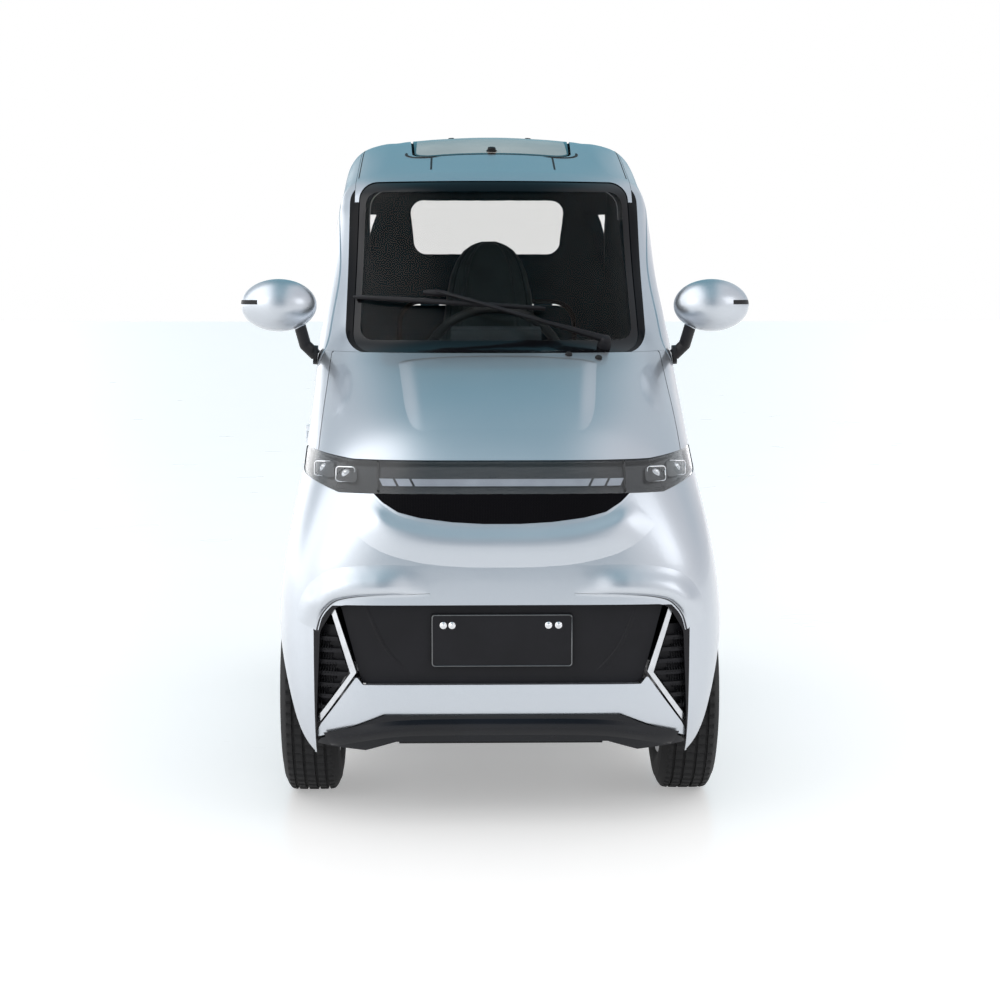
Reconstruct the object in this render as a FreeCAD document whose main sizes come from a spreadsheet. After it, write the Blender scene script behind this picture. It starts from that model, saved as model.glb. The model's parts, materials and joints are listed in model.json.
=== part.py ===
import FreeCAD, Part
import math
import os
import Sketcher

# Microcar: a one-seat electric cabin car. Millimetres, +Z up, the nose points along -Y,
# the origin is on the ground under the middle of the car.

Vector = FreeCAD.Vector
doc = FreeCAD.newDocument("Microcar")
sheet = doc.addObject("Spreadsheet::Sheet", "Sizes")

SIZES = [
    ("overall_length", 2250, "nose to tail"),
    ("cab_half_width", 450, "half width at the belt line"),
    ("door_half_width", 478, "half width at the door's widest height"),
    ("flare_out", 32, "how far a front wing stands out over its wheel"),
    ("flare_rear", 44, "how far a rear wing stands out over its wheel"),
    ("flare_reach", 250, "how far a wing's swelling runs along the car"),
    ("roof_height", 1612, "top of the roof"),
    ("roof_peak_back", 400, "how far behind the middle the roof is highest"),
    ("roof_slope", 0.29, "fall of the roof towards the windscreen, per millimetre"),
    ("roof_rear_fall", 110, "how much lower the roof is at the tail"),
    ("roof_side_fall", 38, "how much lower the roof is at its sides"),
    ("roof_edge_radius", 85, "rounding of the roof's edge"),
    ("belt_height", 1050, "foot of the windscreen"),
    ("wheelbase", 1500, "front axle to rear axle"),
    ("front_axle_back", 405, "nose to front axle"),
    ("track", 874, "tyre centre to tyre centre"),
    ("tyre_radius", 247, ""),
    ("tyre_width", 134, ""),
    ("bead_radius", 152, "where the tyre sits on its rim"),
    ("rim_width", 116, ""),
    ("rim_flange", 11, "height of the rim's edge above the bead"),
    ("rim_wall", 7, "thickness of the rim's barrel"),
    ("hub_radius", 48, "boss in the middle of a wheel"),
    ("disc_wall", 20, "wheel disc at the boss"),
    ("cap_depth", 18, "wheel cap below the rim's outer edge"),
    ("cap_wall", 5, ""),
    ("spoke_count", 10, ""),
    ("stub_radius", 15, "stub axle"),
    ("arch_radius", 300, "front wheel arch"),
    ("rear_arch_radius", 278, "rear wheel arch"),
    ("panel_wall", 8, "bumper and wing mouldings"),
    ("bonnet_wall", 8, ""),
    ("door_wall", 42, "whole door"),
    ("cab_wall", 34, "pillars and roof rails"),
    ("rear_wall", 30, "rear body"),
    ("roof_wall", 26, ""),
    ("glass_wall", 5, ""),
    ("glass_inset", 2, "glass below the painted surface"),
    ("seat_gap", 0.3, "fixed pieces to each other"),
    ("shut_gap", 7, "moving panels to what they shut against"),
    ("bonnet_half_width", 415, "bonnet's side seam"),
    ("lamp_top", 812, ""),
    ("lamp_height", 72, ""),
    ("lamp_reach", 452, "half width of the lamp bar"),
    ("nose_panel_depth", 64, "height of the gloss panel below the lamps"),
    ("screen_half_width", 356, ""),
    ("screen_top", 1468, ""),
    ("screen_corner", 48, ""),
    ("door_front", -400, "front edge of the door"),
    ("door_rear", 430, "rear edge of the door"),
    ("door_bottom", 285, ""),
    ("door_top", 1425, ""),
    ("door_draft", 36, "how much shorter the door is at the inside of its zone"),
    ("door_lead", 330, "how far the door's top leans back from its belt"),
    ("window_frame", 48, "door frame around its glass"),
    ("door_glass_foot", 1035, "sill of the door window"),
    ("hinge_out", 486, "door hinge axis from the middle, low down"),
    ("hinge_radius", 9, "door hinge knuckle"),
    ("hinge_length", 46, ""),
    ("hinge_play", 0.9, "between knuckles of one hinge"),
    ("roof_seam", 360, "roof panel's half width"),
    ("roof_rear", 840, "rear edge of the roof panel"),
    ("hatch_half_width", 222, ""),
    ("hatch_front", 80, "front edge of the roof hatch"),
    ("hatch_length", 400, ""),
    ("hatch_corner", 60, ""),
    ("hatch_wall", 12, ""),
    ("rear_window_half_width", 240, ""),
    ("rear_window_foot", 1289, ""),
    ("rear_window_height", 166, ""),
    ("rear_window_corner", 40, ""),
    ("boot_half_width", 300, ""),
    ("boot_foot", 640, ""),
    ("boot_top", 1130, ""),
    ("boot_corner", 60, ""),
    ("tail_lamp_foot", 700, ""),
    ("tail_lamp_height", 90, ""),
    ("opening_half_width", 418, "front lower opening at its foot"),
    ("opening_top", 500, ""),
    ("opening_foot", 150, ""),
    ("chin_top", 322, "painted chin under the grille"),
    ("chin_height", 68, ""),
    ("plate_width", 308, ""),
    ("plate_height", 114, ""),
    ("plate_foot", 362, ""),
    ("plate_back", 16, "nose to the plate carrier's face"),
    ("plate_depth", 16, "thickness of the plate carrier"),
    ("steer_clearance", 6, "steered tyre to what is round it"),
    ("lip_wall", 4, "edge of the front lower opening, turned inwards"),
    ("lip_depth", 26, "how far that edge runs inwards"),
    ("body_foot", 150, "lowest edge of the painted body"),
    ("rail_height", 50, "chassis rail"),
    ("rail_width", 30, ""),
    ("rail_half_gap", 200, "chassis rail from the middle"),
    ("rail_foot", 165, ""),
    ("floor_wall", 14, ""),
    ("cabin_half_width", 415, "floor between the wheels"),
    ("foot_half_width", 245, "floor between the front wheels"),
    ("bulkhead_back", 560, "nose to bulkhead"),
    ("bulkhead_top", 900, ""),
    ("deck_top", 545, "luggage floor over the motor"),
    ("deck_front", 500, ""),
    ("battery_length", 360, ""),
    ("battery_width", 520, ""),
    ("battery_height", 245, ""),
    ("battery_front", 110, ""),
    ("cushion_width", 440, ""),
    ("cushion_length", 430, ""),
    ("cushion_thickness", 110, ""),
    ("cushion_front", 20, ""),
    ("backrest_height", 740, ""),
    ("backrest_thickness", 95, ""),
    ("backrest_lean", 14, "degrees"),
    ("kingpin_lean", 12, "degrees"),
    ("kingpin_out", 375, "steering axis from the middle at hub height"),
    ("strut_radius", 22, ""),
    ("strut_top", 640, ""),
    ("spring_radius", 48, ""),
    ("arm_radius", 13, ""),
    ("steering_wheel_radius", 175, ""),
    ("steering_rim_radius", 14, ""),
    ("steering_wheel_height", 985, ""),
    ("steering_wheel_back", -150, ""),
    ("column_rake", 32, "degrees above level"),
    ("axle_radius", 28, "rear axle tube"),
    ("motor_radius", 95, ""),
    ("motor_length", 230, ""),
    ("mirror_out", 540, "mirror's middle from the car's middle"),
    ("mirror_height", 1145, ""),
    ("mirror_half_width", 94, ""),
    ("mirror_half_height", 65, ""),
    ("mirror_arm_radius", 15, ""),
    ("strip_height", 15, "light strip"),
    ("liner_wall", 4, "inner wings"),
    ("steering_arm", 110, "steering axis to track rod"),
    ("rack_radius", 10, ""),
    ("rack_rise", 25, "steering rack above the hubs"),
    ("rack_housing_radius", 24, ""),
    ("steering_eye_in", 34, "rod ends inside the steering axis"),
    ("ball_drop", 77, "lower ball joint below the hub"),
    ("hub_carrier_radius", 46, ""),
    ("rail_front", 150, "nose to the frame's front member"),
    ("rail_rear", 95, "frame's rear member to the tail"),
    ("beam_wall", 22, "bumper beams, front to back"),
    ("beam_rise", 60, "bumper beams above the rails"),
    ("rear_beam_half", 340, "half width of the rear bumper's beam"),
    ("drum_radius", 80, "rear brake drum"),
    ("rear_spring_out", 285, ""),
    ("rear_arm_out", 260, "trailing arms"),
    ("flange_wall", 5, "rim's edge across the wheel"),
    ("tyre_shoulder", 15, "tread's edge from the tyre's side"),
    ("cushion_taper", 20, "how much narrower the cushion's back is, a side"),
    ("cushion_corner", 50, ""),
    ("cushion_edge", 26, ""),
    ("spring_foot", 505, "lower seat of the front springs"),
    ("rear_bumper_top", 335, ""),
    ("hinge_lean", 3, "degrees the door's hinge axis leans inwards"),
    ("hinge_low", 540, "foot of the door's lower hinge"),
    ("hinge_high", 800, "foot of the door's upper hinge"),
    ("lid_hinge_radius", 5, "hinge knuckles of hatch and lid"),
]
for row, (alias, value, note) in enumerate(SIZES, start=1):
    sheet.set("A%d" % row, alias)
    sheet.set("B%d" % row, str(value))
    sheet.set("C%d" % row, note)
    sheet.setAlias("B%d" % row, alias)
doc.recompute()


def size(alias):
    return float(sheet.get(alias))


nose = -size("overall_length") / 2
tail = size("overall_length") / 2
front_axle = nose + size("front_axle_back")
rear_axle = front_axle + size("wheelbase")
wheel_height = size("tyre_radius")
wheel_out = size("track") / 2
gap = size("seat_gap")
shut = size("shut_gap")
FAR = 3000.0


class Sized:
    """A number together with the sheet expression that gives it."""

    def __init__(self, value, text):
        self.value = float(value)
        self.text = text

    def __add__(self, other):
        other = sized(other)
        return Sized(self.value + other.value, "(%s + %s)" % (self.text, other.text))

    def __sub__(self, other):
        other = sized(other)
        return Sized(self.value - other.value, "(%s - %s)" % (self.text, other.text))

    def __mul__(self, other):
        other = sized(other)
        return Sized(self.value * other.value, "(%s * %s)" % (self.text, other.text))

    def __truediv__(self, other):
        other = sized(other)
        return Sized(self.value / other.value, "(%s / %s)" % (self.text, other.text))

    def __neg__(self):
        return sized(0) - self


def sized(thing):
    return thing if isinstance(thing, Sized) else Sized(thing, "%.6f" % thing)


def cell(alias):
    return Sized(size(alias), "Sizes." + alias)


def cell_tangent(alias):
    """The tangent of an angle that the sheet gives in degrees."""
    return Sized(math.tan(math.radians(size(alias))), "tan(Sizes.%s * 1deg)" % alias)


def cell_cosine(alias):
    return Sized(math.cos(math.radians(size(alias))), "cos(Sizes.%s * 1deg)" % alias)


def bind(item, **values):
    """Sets properties, each bound to its cells where it has any."""
    for name, value in values.items():
        value = sized(value)
        setattr(item, name, value.value)
        if "Sizes" in value.text:
            item.setExpression(name, value.text)
    return item


TURN_TO_X = (Vector(0, 1, 0), 90.0)
TURN_TO_Y = (Vector(1, 0, 0), -90.0)
UPRIGHT = (Vector(0, 0, 1), 0.0)


def place(item, x, y, z, turn=UPRIGHT):
    spots = [sized(x), sized(y), sized(z)]
    base = Vector(*[spot.value for spot in spots])
    item.Placement = FreeCAD.Placement(base, FreeCAD.Rotation(*turn))
    for name, spot in zip("xyz", spots):
        if "Sizes" in spot.text:
            item.setExpression(".Placement.Base." + name, spot.text)
    return item


def box_part(name, x, y, z, length, width, height):
    item = bind(doc.addObject("Part::Box", name), Length=length, Width=width, Height=height)
    return place(item, x, y, z)


def cylinder_part(name, x, y, z, radius, height, turn=UPRIGHT):
    item = bind(doc.addObject("Part::Cylinder", name), Radius=radius, Height=height)
    return place(item, x, y, z, turn)


def fused_part(name, shapes):
    item = doc.addObject("Part::MultiFuse", name)
    item.Shapes = shapes
    item.Refine = True
    return item


def cut_part(name, base, tool):
    item = doc.addObject("Part::Cut", name)
    item.Base = base
    item.Tool = tool
    item.Refine = True
    return item


def mirrored_part(name, source):
    item = doc.addObject("Part::Mirroring", name)
    item.Source = source
    item.Base = Vector(0, 0, 0)
    item.Normal = Vector(1, 0, 0)
    return item


def origin_item(body, role):
    return [item for item in body.Origin.OriginFeatures if item.Role == role][0]


def polygon_sketch(body, name, plane, points):
    """A closed outline on one of the body's own planes, every corner dimensioned from the origin."""
    sketch = body.newObject("Sketcher::SketchObject", name)
    sketch.AttachmentSupport = (origin_item(body, plane), [""])
    sketch.MapMode = "FlatFace"
    corners = [(sized(across), sized(up)) for across, up in points]
    spots = [Vector(across.value, up.value, 0) for across, up in corners]
    count = len(spots)
    sides = [Part.LineSegment(spots[k], spots[(k + 1) % count]) for k in range(count)]
    sketch.addGeometry(sides)
    for k in range(count):
        sketch.addConstraint(Sketcher.Constraint("Coincident", k, 2, (k + 1) % count, 1))
    for k, corner in enumerate(corners):
        for kind, axis, value in (("DistanceX", -2, corner[0]), ("DistanceY", -1, corner[1])):
            if abs(value.value) < 1e-9:
                sketch.addConstraint(Sketcher.Constraint("PointOnObject", k, 1, axis))
                continue
            index = sketch.addConstraint(Sketcher.Constraint(kind, -1, 1, k, 1, value.value))
            if "Sizes" in value.text:
                sketch.setExpression("Constraints[%d]" % index, value.text)
    return sketch


def revolved(body, name, points):
    """A profile on the XZ plane turned round the X axis."""
    feature = body.newObject("PartDesign::Revolution", name)
    feature.Profile = polygon_sketch(body, name + "_profile", "XZ_Plane", points)
    feature.ReferenceAxis = (origin_item(body, "X_Axis"), [""])
    feature.Angle = 360.0
    return feature


def pocketed(body, name, sketch):
    """Cuts a sketch on the YZ plane right through the body."""
    feature = body.newObject("PartDesign::Pocket", name)
    feature.Profile = sketch
    feature.Type = "ThroughAll"
    feature.Reversed = True
    return feature


# Outlines and prisms

def rounded_wire(points, radius, place):
    """A closed wire through 2D points, each corner rounded as far as its sides allow."""
    edges = []
    count = len(points)
    radii = radius if isinstance(radius, (list, tuple)) else [radius] * count
    starts, ends, middles = [], [], []
    for k in range(count):
        here = Vector(points[k][0], points[k][1], 0)
        back = Vector(points[k - 1][0], points[k - 1][1], 0) - here
        ahead = Vector(points[(k + 1) % count][0], points[(k + 1) % count][1], 0) - here
        half = back.getAngle(ahead) / 2
        room = 0.48 * min(back.Length, ahead.Length)
        cut = min(radii[k] / math.tan(half), room) if radii[k] > 0 else 0.0
        back.normalize()
        ahead.normalize()
        if cut < 0.01 or half > math.pi / 2 - 0.01:
            starts.append(here)
            ends.append(here)
            middles.append(None)
            continue
        arc_radius = cut * math.tan(half)
        towards = (back + ahead).normalize()
        middle = here + towards * (arc_radius / math.sin(half) - arc_radius)
        starts.append(here + back * cut)
        ends.append(here + ahead * cut)
        middles.append(middle)
    for k in range(count):
        if middles[k] is not None:
            edges.append(Part.Arc(place(starts[k]), place(middles[k]), place(ends[k])).toShape())
        following = (k + 1) % count
        if ends[k].distanceToPoint(starts[following]) > 0.01:
            edges.append(Part.LineSegment(place(ends[k]), place(starts[following])).toShape())
    return Part.Wire(edges)


def front_outline(points, radius, y):
    """Points are (x, z) as seen from the front."""
    return rounded_wire(points, radius, lambda p: Vector(p.x, y, p.y))


def side_outline(points, radius, x):
    """Points are (y, z) as seen from the side."""
    return rounded_wire(points, radius, lambda p: Vector(x, p.x, p.y))


def top_outline(points, radius, z):
    """Points are (x, y) as seen from above."""
    return rounded_wire(points, radius, lambda p: Vector(p.x, p.y, z))


def front_prism(points, radius, y_low, y_high):
    return Part.Face(front_outline(points, radius, y_low)).extrude(Vector(0, y_high - y_low, 0))


def side_prism(points, radius, x_low, x_high):
    return Part.Face(side_outline(points, radius, x_low)).extrude(Vector(x_high - x_low, 0, 0))


def top_prism(points, radius, z_low, z_high):
    return Part.Face(top_outline(points, radius, z_low)).extrude(Vector(0, 0, z_high - z_low))


def block(x_low, x_high, y_low, y_high, z_low, z_high):
    return Part.makeBox(x_high - x_low, y_high - y_low, z_high - z_low, Vector(x_low, y_low, z_low))


def rod(start, end, radius):
    along = end - start
    return Part.makeCylinder(radius, along.Length, start, along)


def mirrored(shape):
    return shape.mirror(Vector(0, 0, 0), Vector(1, 0, 0))


def grown(points, amount):
    """An outline moved outwards by amount, or inwards if it is negative."""
    count = len(points)
    turn = sum(points[k - 1][0] * points[k][1] - points[k][0] * points[k - 1][1] for k in range(count))
    sign = 1 if turn > 0 else -1
    moved = []
    for k in range(count):
        x, y = points[k]
        ax, ay = x - points[k - 1][0], y - points[k - 1][1]
        bx, by = points[(k + 1) % count][0] - x, points[(k + 1) % count][1] - y
        la, lb = math.hypot(ax, ay), math.hypot(bx, by)
        nax, nay, nbx, nby = ay / la * sign, -ax / la * sign, by / lb * sign, -bx / lb * sign
        share = 1 + nax * nbx + nay * nby
        moved.append((x + (nax + nbx) / share * amount, y + (nay + nby) / share * amount))
    return moved


# The body's outer surface, drawn as rings one above the other

FRONT_STEPS = 18
SIDE_STEPS = 6
REAR_STEPS = 16
RING_COUNT = FRONT_STEPS + REAR_STEPS + 2 * SIDE_STEPS


def super_quarter(half, start, end, squareness, angle):
    """A point on a rounded-square curve from the side (angle 0) to the middle (90 degrees)."""
    across = math.copysign(abs(math.cos(angle)) ** (2 / squareness), math.cos(angle))
    along = abs(math.sin(angle)) ** (2 / squareness)
    return half * across, start + (end - start) * along


CORNER_WEIGHT = 220.0


def spread(curve, count):
    """Points of a curve at even steps, closer together where it turns."""
    marks = [0.0]
    for k in range(1, len(curve)):
        step = math.dist(curve[k - 1], curve[k])
        turn = 0.0
        if k > 1:
            before = math.atan2(curve[k - 1][1] - curve[k - 2][1], curve[k - 1][0] - curve[k - 2][0])
            after = math.atan2(curve[k][1] - curve[k - 1][1], curve[k][0] - curve[k - 1][0])
            turn = abs(math.remainder(after - before, 2 * math.pi))
        marks.append(marks[-1] + step + CORNER_WEIGHT * turn)
    points = []
    at = 0
    for k in range(count + 1):
        goal = marks[-1] * k / count
        while at < len(marks) - 2 and marks[at + 1] < goal:
            at += 1
        share = (goal - marks[at]) / (marks[at + 1] - marks[at])
        points.append(tuple(p + (q - p) * share for p, q in zip(curve[at], curve[at + 1])))
    return points


def end_curve(half, start, end, squareness):
    """Rounded-square curve round one end of a ring, from its right side to its left."""
    fine = [super_quarter(half, start, end, squareness, math.pi * k / 360) for k in range(361)]
    return spread(fine, FRONT_STEPS if end < start else REAR_STEPS)


def ring_outline(front, rear, half, front_start, rear_start, front_square, rear_square):
    """Plan outline of one ring, from the middle of the tail round the right side."""
    points = end_curve(half, front_start, front, front_square)
    for k in range(1, SIDE_STEPS):
        points.append((-half, front_start + (rear_start - front_start) * k / SIDE_STEPS))
    points += end_curve(half, rear_start, rear, rear_square)[::-1]
    for k in range(1, SIDE_STEPS):
        points.append((half, rear_start + (front_start - rear_start) * k / SIDE_STEPS))
    middle = FRONT_STEPS + SIDE_STEPS + REAR_STEPS // 2
    return points[middle:] + points[:middle]


FLARE_HEIGHT = 390.0
FLARE_RISE = 225.0
FLARE_LEAD = 150.0
FLARE_TRAIL = 50.0


def flare(y, z):
    """How far the wing swells out beside a wheel."""
    rise = math.exp(-(((z - FLARE_HEIGHT) / FLARE_RISE) ** 2))
    ahead = math.exp(-(((y - front_axle + FLARE_LEAD) / size("flare_reach")) ** 2))
    behind = math.exp(-(((y - rear_axle - FLARE_TRAIL) / size("flare_reach")) ** 2))
    return rise * (size("flare_out") * ahead + size("flare_rear") * behind)


ROOF_CREST = 120.0


def roof_surface(x, y):
    """Height of the roof before its edge is rounded."""
    ahead = size("roof_peak_back") - y
    if ahead > 0:
        fall = size("roof_slope") * (math.hypot(ahead, ROOF_CREST) - ROOF_CREST)
    else:
        fall = size("roof_rear_fall") * (ahead / 550.0) ** 2
    return size("roof_height") - fall - size("roof_side_fall") * (x / 400.0) ** 2


def lower_rings():
    """Level rings from the skirt to just under the roof: height, nose, tail and half width."""
    door = size("door_half_width")
    cab = size("cab_half_width")
    belt = size("belt_height")
    return [
        (120, nose + 85, tail - 75, door - 48),
        (170, nose + 42, tail - 37, door - 22),
        (240, nose + 15, tail - 15, door - 8),
        (340, nose + 3, tail - 3, door - 1),
        (460, nose, tail, door),
        (580, nose + 5, tail - 2, door - 1),
        (680, nose + 20, tail - 8, door - 6),
        (760, nose + 43, tail - 17, cab + 13),
        (830, nose + 80, tail - 27, cab + 7),
        (890, nose + 152, tail - 39, cab + 5),
        (belt - 100, nose + 270, tail - 55, cab + 4),
        (belt - 40, nose + 430, tail - 73, cab + 2),
        (belt, nose + 540, tail - 87, cab),
        (belt + 60, nose + 605, tail - 105, cab - 5),
        (belt + 200, nose + 727, tail - 145, cab - 23),
        (belt + 330, nose + 838, tail - 183, cab - 43),
    ]


HEADER = (0, 20, 50, 95)


def hull_rings():
    rings = []
    belt = size("belt_height")
    for height, front, rear, half in lower_rings():
        front_start = min(-620 + max(0, height - 640) * 0.96, -60)
        rear_start = max(560, 700 - max(0, height - 500) * 0.7)
        front_square = max(2.4, 5.0 - (height - 640) / 130)
        if height < 640:
            front_square = min(6.5, 5.0 + (640 - height) / 60)
        rear_square = max(3.2, 6.0 - max(0, height - 500) / 70)
        ring = []
        for x, y in ring_outline(front, rear, half, front_start, rear_start, front_square, rear_square):
            out = flare(y, height) * (abs(x) / half) ** 3
            ring.append(Vector(x + math.copysign(out, x), y, height))
        rings.append(ring)
    radius = size("roof_edge_radius")
    half_top = size("cab_half_width") - 46
    for step in range(4):
        turn = math.radians(30 * step)
        inset = radius * (1 - math.cos(turn))
        drop = radius * (1 - math.sin(turn))
        front, rear = nose + 880 + HEADER[step], tail - 207 - inset
        outline = ring_outline(front, rear, half_top - inset, -60, 560, 2.4, 3.2)
        ring = []
        for x, y in outline:
            ahead = min(1.0, max(0.0, (-20 - y) / 180.0))
            ring.append(Vector(x, y, roof_surface(x, y) - drop * (1 - 0.7 * ahead)))
        rings.append(ring)
    peak = size("roof_peak_back")
    for half, reach, back in ((250, 390, 120), (200, 270, 80), (140, 160, 40), (70, 70, 8), (14, 14, 0)):
        middle = peak - back
        front, rear = middle - reach, middle + reach
        outline = ring_outline(front, rear, half, middle - 0.3 * reach, middle + 0.3 * reach, 2.4, 2.4)
        rings.append([Vector(x, y, roof_surface(x, y)) for x, y in outline])
    top = sum(p.z for p in rings[-1]) / RING_COUNT
    rings[-1] = [Vector(p.x, p.y, top) for p in rings[-1]]
    return rings


def surface_through(rings):
    """A smooth closed-round surface through every point of the rings, and each ring's parameter."""
    across = []
    for ring in rings:
        curve = Part.BSplineCurve()
        curve.interpolate(Points=ring, PeriodicFlag=True, Parameters=[float(k) for k in range(RING_COUNT + 1)])
        across.append(curve)
    heights = [0.0]
    for low, high in zip(rings, rings[1:]):
        step = sum(p.distanceToPoint(q) for p, q in zip(low, high)) / RING_COUNT
        heights.append(heights[-1] + step)
    poles = []
    for k in range(across[0].NbPoles):
        curve = Part.BSplineCurve()
        curve.interpolate(Points=[ring.getPole(k + 1) for ring in across], Parameters=heights)
        poles.append(curve.getPoles())
    surface = Part.BSplineSurface()
    surface.buildFromPolesMultsKnots(
        poles,
        across[0].getMultiplicities(),
        curve.getMultiplicities(),
        across[0].getKnots(),
        curve.getKnots(),
        True,
        False,
        3,
        3,
    )
    return surface, heights


def closed_solid(surface):
    side = surface.toShape()
    ends = [Part.Face(Part.Wire([e])) for e in side.Edges if e.isClosed() and e.BoundBox.ZLength < 0.5]
    shell = Part.makeShell([side] + ends)
    shell.sewShape()
    solid = Part.Solid(shell)
    if solid.Volume < 0:
        solid.reverse()
    return solid


base_rings = hull_rings()
base_surface, base_heights = surface_through(base_rings)
hull_cache = {}


def hull(inset):
    """The body's outer form as one solid, moved in by inset. Its foot runs on a little, so that
    two such solids cut to a shell that is open below."""
    if inset in hull_cache:
        return hull_cache[inset]
    rings = []
    for ring, height in zip(base_rings, base_heights):
        moved = []
        for k, point in enumerate(ring):
            normal = base_surface.normal(float(k), height)
            core = Vector(0, point.y * 0.5, min(point.z, 900))
            if normal.dot(point - core) > 0:
                normal = normal * -1
            moved.append(point + normal * inset)
        rings.append(moved)
    run_on = 6.0 if inset > 0 else 0.0
    rings[0] = [Vector(p.x, p.y, base_rings[0][0].z - run_on) for p in rings[0]]
    top = sum(p.z for p in rings[-1]) / RING_COUNT
    rings[-1] = [Vector(p.x, p.y, top) for p in rings[-1]]
    hull_cache[inset] = closed_solid(surface_through(rings)[0])
    return hull_cache[inset]


def hull_near(zone, inset, margin):
    """The piece of the body's form round a zone, whose small faces meet the zone's cleanly."""
    box = zone.BoundBox
    low = Vector(box.XMin - margin, box.YMin - margin, box.ZMin - margin)
    room = Part.makeBox(
        box.XLength + 2 * margin, box.YLength + 2 * margin, box.ZLength + 2 * margin, low
    )
    return hull(inset).common(room)


def skin(zone, outer, inner):
    """The part of the body's wall that lies in zone, from outer to inner below the surface."""
    return hull_near(zone, outer, 10).common(zone).cut(hull_near(zone, inner, 20))


# Outlines of the panels, (x, z) from the front or (y, z) from the side

belt_seam = size("belt_height") - 17
header_foot = size("screen_top") - 60


def symmetric(points):
    """Right half points (x > 0, from the top down) completed with their mirror images."""
    return points + [(-x, z) for x, z in reversed(points)]


def lamp_band():
    """The lamp bar's outline, run out past the body's sides."""
    top = size("lamp_top")
    foot = top - size("lamp_height")
    reach = size("lamp_reach")
    return symmetric([(330, top), (reach, top + 14), (reach, foot + 30), (reach - 92, foot), (200, foot)])


def nose_outline():
    foot = size("lamp_top") - size("lamp_height")
    low = foot - size("nose_panel_depth")
    return symmetric([(325, foot + 40), (262, foot - 18), (228, low + 25), (180, low + 13), (110, low + 4), (40, low)])


def screen_outline():
    half = size("screen_half_width")
    return symmetric([(half - 8, size("screen_top") - 6), (half, belt_seam)])


def bonnet_outline():
    half = size("bonnet_half_width")
    return symmetric([(half - 8, belt_seam + 1.2), (half, size("lamp_top") - 20)])


def opening_outline():
    half = size("opening_half_width")
    top = size("opening_top")
    return symmetric([(half - 55, top), (half - 18, top - 60), (half, size("opening_foot") - 60)])


def door_outline(draft=0):
    """The door from the side. Its rear edge is moved forward by draft."""
    front = size("door_front")
    rear = size("door_rear") - draft
    lead = size("door_lead")
    return [
        (front, size("belt_height") - 20),
        (front + lead, size("door_top")),
        (rear - 60, size("door_top")),
        (rear, size("belt_height")),
        (rear, size("door_bottom") + 150),
        (rear - 60, size("door_bottom")),
        (front + 55, size("door_bottom")),
        (front, size("door_bottom") + 200),
    ]


def door_window_outline():
    frame = size("window_frame")
    front = size("door_front")
    lead = size("door_lead")
    foot = size("door_glass_foot")
    top = size("door_top") - frame
    rear = size("door_rear") - frame
    return [
        (front + frame + 22, foot),
        (front + lead + 12, top),
        (rear - 56, top),
        (rear, foot),
    ]


# Zones that divide the body's wall

DOOR_ZONE_IN = 250
DOOR_ZONE_OUT = 600
door_zone = Part.makeLoft(
    [
        side_outline(door_outline(size("door_draft")), 45, DOOR_ZONE_IN),
        side_outline(door_outline(), 45, DOOR_ZONE_OUT),
    ],
    True,
    True,
)
door_cut = side_prism(grown(door_outline(), shut), 50, 150, 700)
door_cuts = door_cut.fuse(mirrored(door_cut))


def axle_arch(axle, radius):
    return Part.makeCylinder(radius, FAR, Vector(-FAR / 2, axle, wheel_height), Vector(1, 0, 0))


front_arch = axle_arch(front_axle, size("arch_radius"))
rear_arch = axle_arch(rear_axle, size("rear_arch_radius"))
below_front_arch = block(-FAR / 2, FAR / 2, front_axle - size("arch_radius"), front_axle + size("arch_radius"), 0, wheel_height)
below_rear_arch = block(
    -FAR / 2, FAR / 2, rear_axle - size("rear_arch_radius"), rear_axle + size("rear_arch_radius"), 0, wheel_height
)
lamp_prism = front_prism(lamp_band(), 12, nose - 100, front_axle + 80)
nose_prism = front_prism(nose_outline(), 26, nose - 100, nose + 300)
SCREEN_BACK = -90
screen_prism = front_prism(screen_outline(), size("screen_corner"), nose + 300, SCREEN_BACK)
bonnet_prism = front_prism(bonnet_outline(), 8, nose - 100, -300)
opening_prism = front_prism(opening_outline(), 40, nose - 100, front_axle - 40)
opening_room = front_prism(grown(opening_outline(), -gap), 40, nose - 100, front_axle - 60)
lip_prism = front_prism(grown(opening_outline(), size("lip_wall")), 44, nose - 100, front_axle - 60)
hatch_middle = size("hatch_front") + size("hatch_length") / 2


def hatch_outline():
    half = size("hatch_half_width")
    front = size("hatch_front")
    rear = front + size("hatch_length")
    return [(half - 14, front), (half, rear), (-half, rear), (-half + 14, front)]


hatch_prism = top_prism(grown(hatch_outline(), shut), size("hatch_corner"), size("roof_height") - 180, FAR)


def rear_window_outline():
    half = size("rear_window_half_width")
    foot = size("rear_window_foot")
    return symmetric([(half, foot + size("rear_window_height")), (half - 16, foot)])


def boot_outline():
    half = size("boot_half_width")
    return symmetric([(half - 30, size("boot_top")), (half, size("boot_foot"))])


rear_window_prism = front_prism(rear_window_outline(), size("rear_window_corner"), 700, tail + 100)
boot_prism = front_prism(grown(boot_outline(), shut), size("boot_corner"), 700, tail + 100)
pillar_rear = size("door_rear") + shut


# Painted panels

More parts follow.
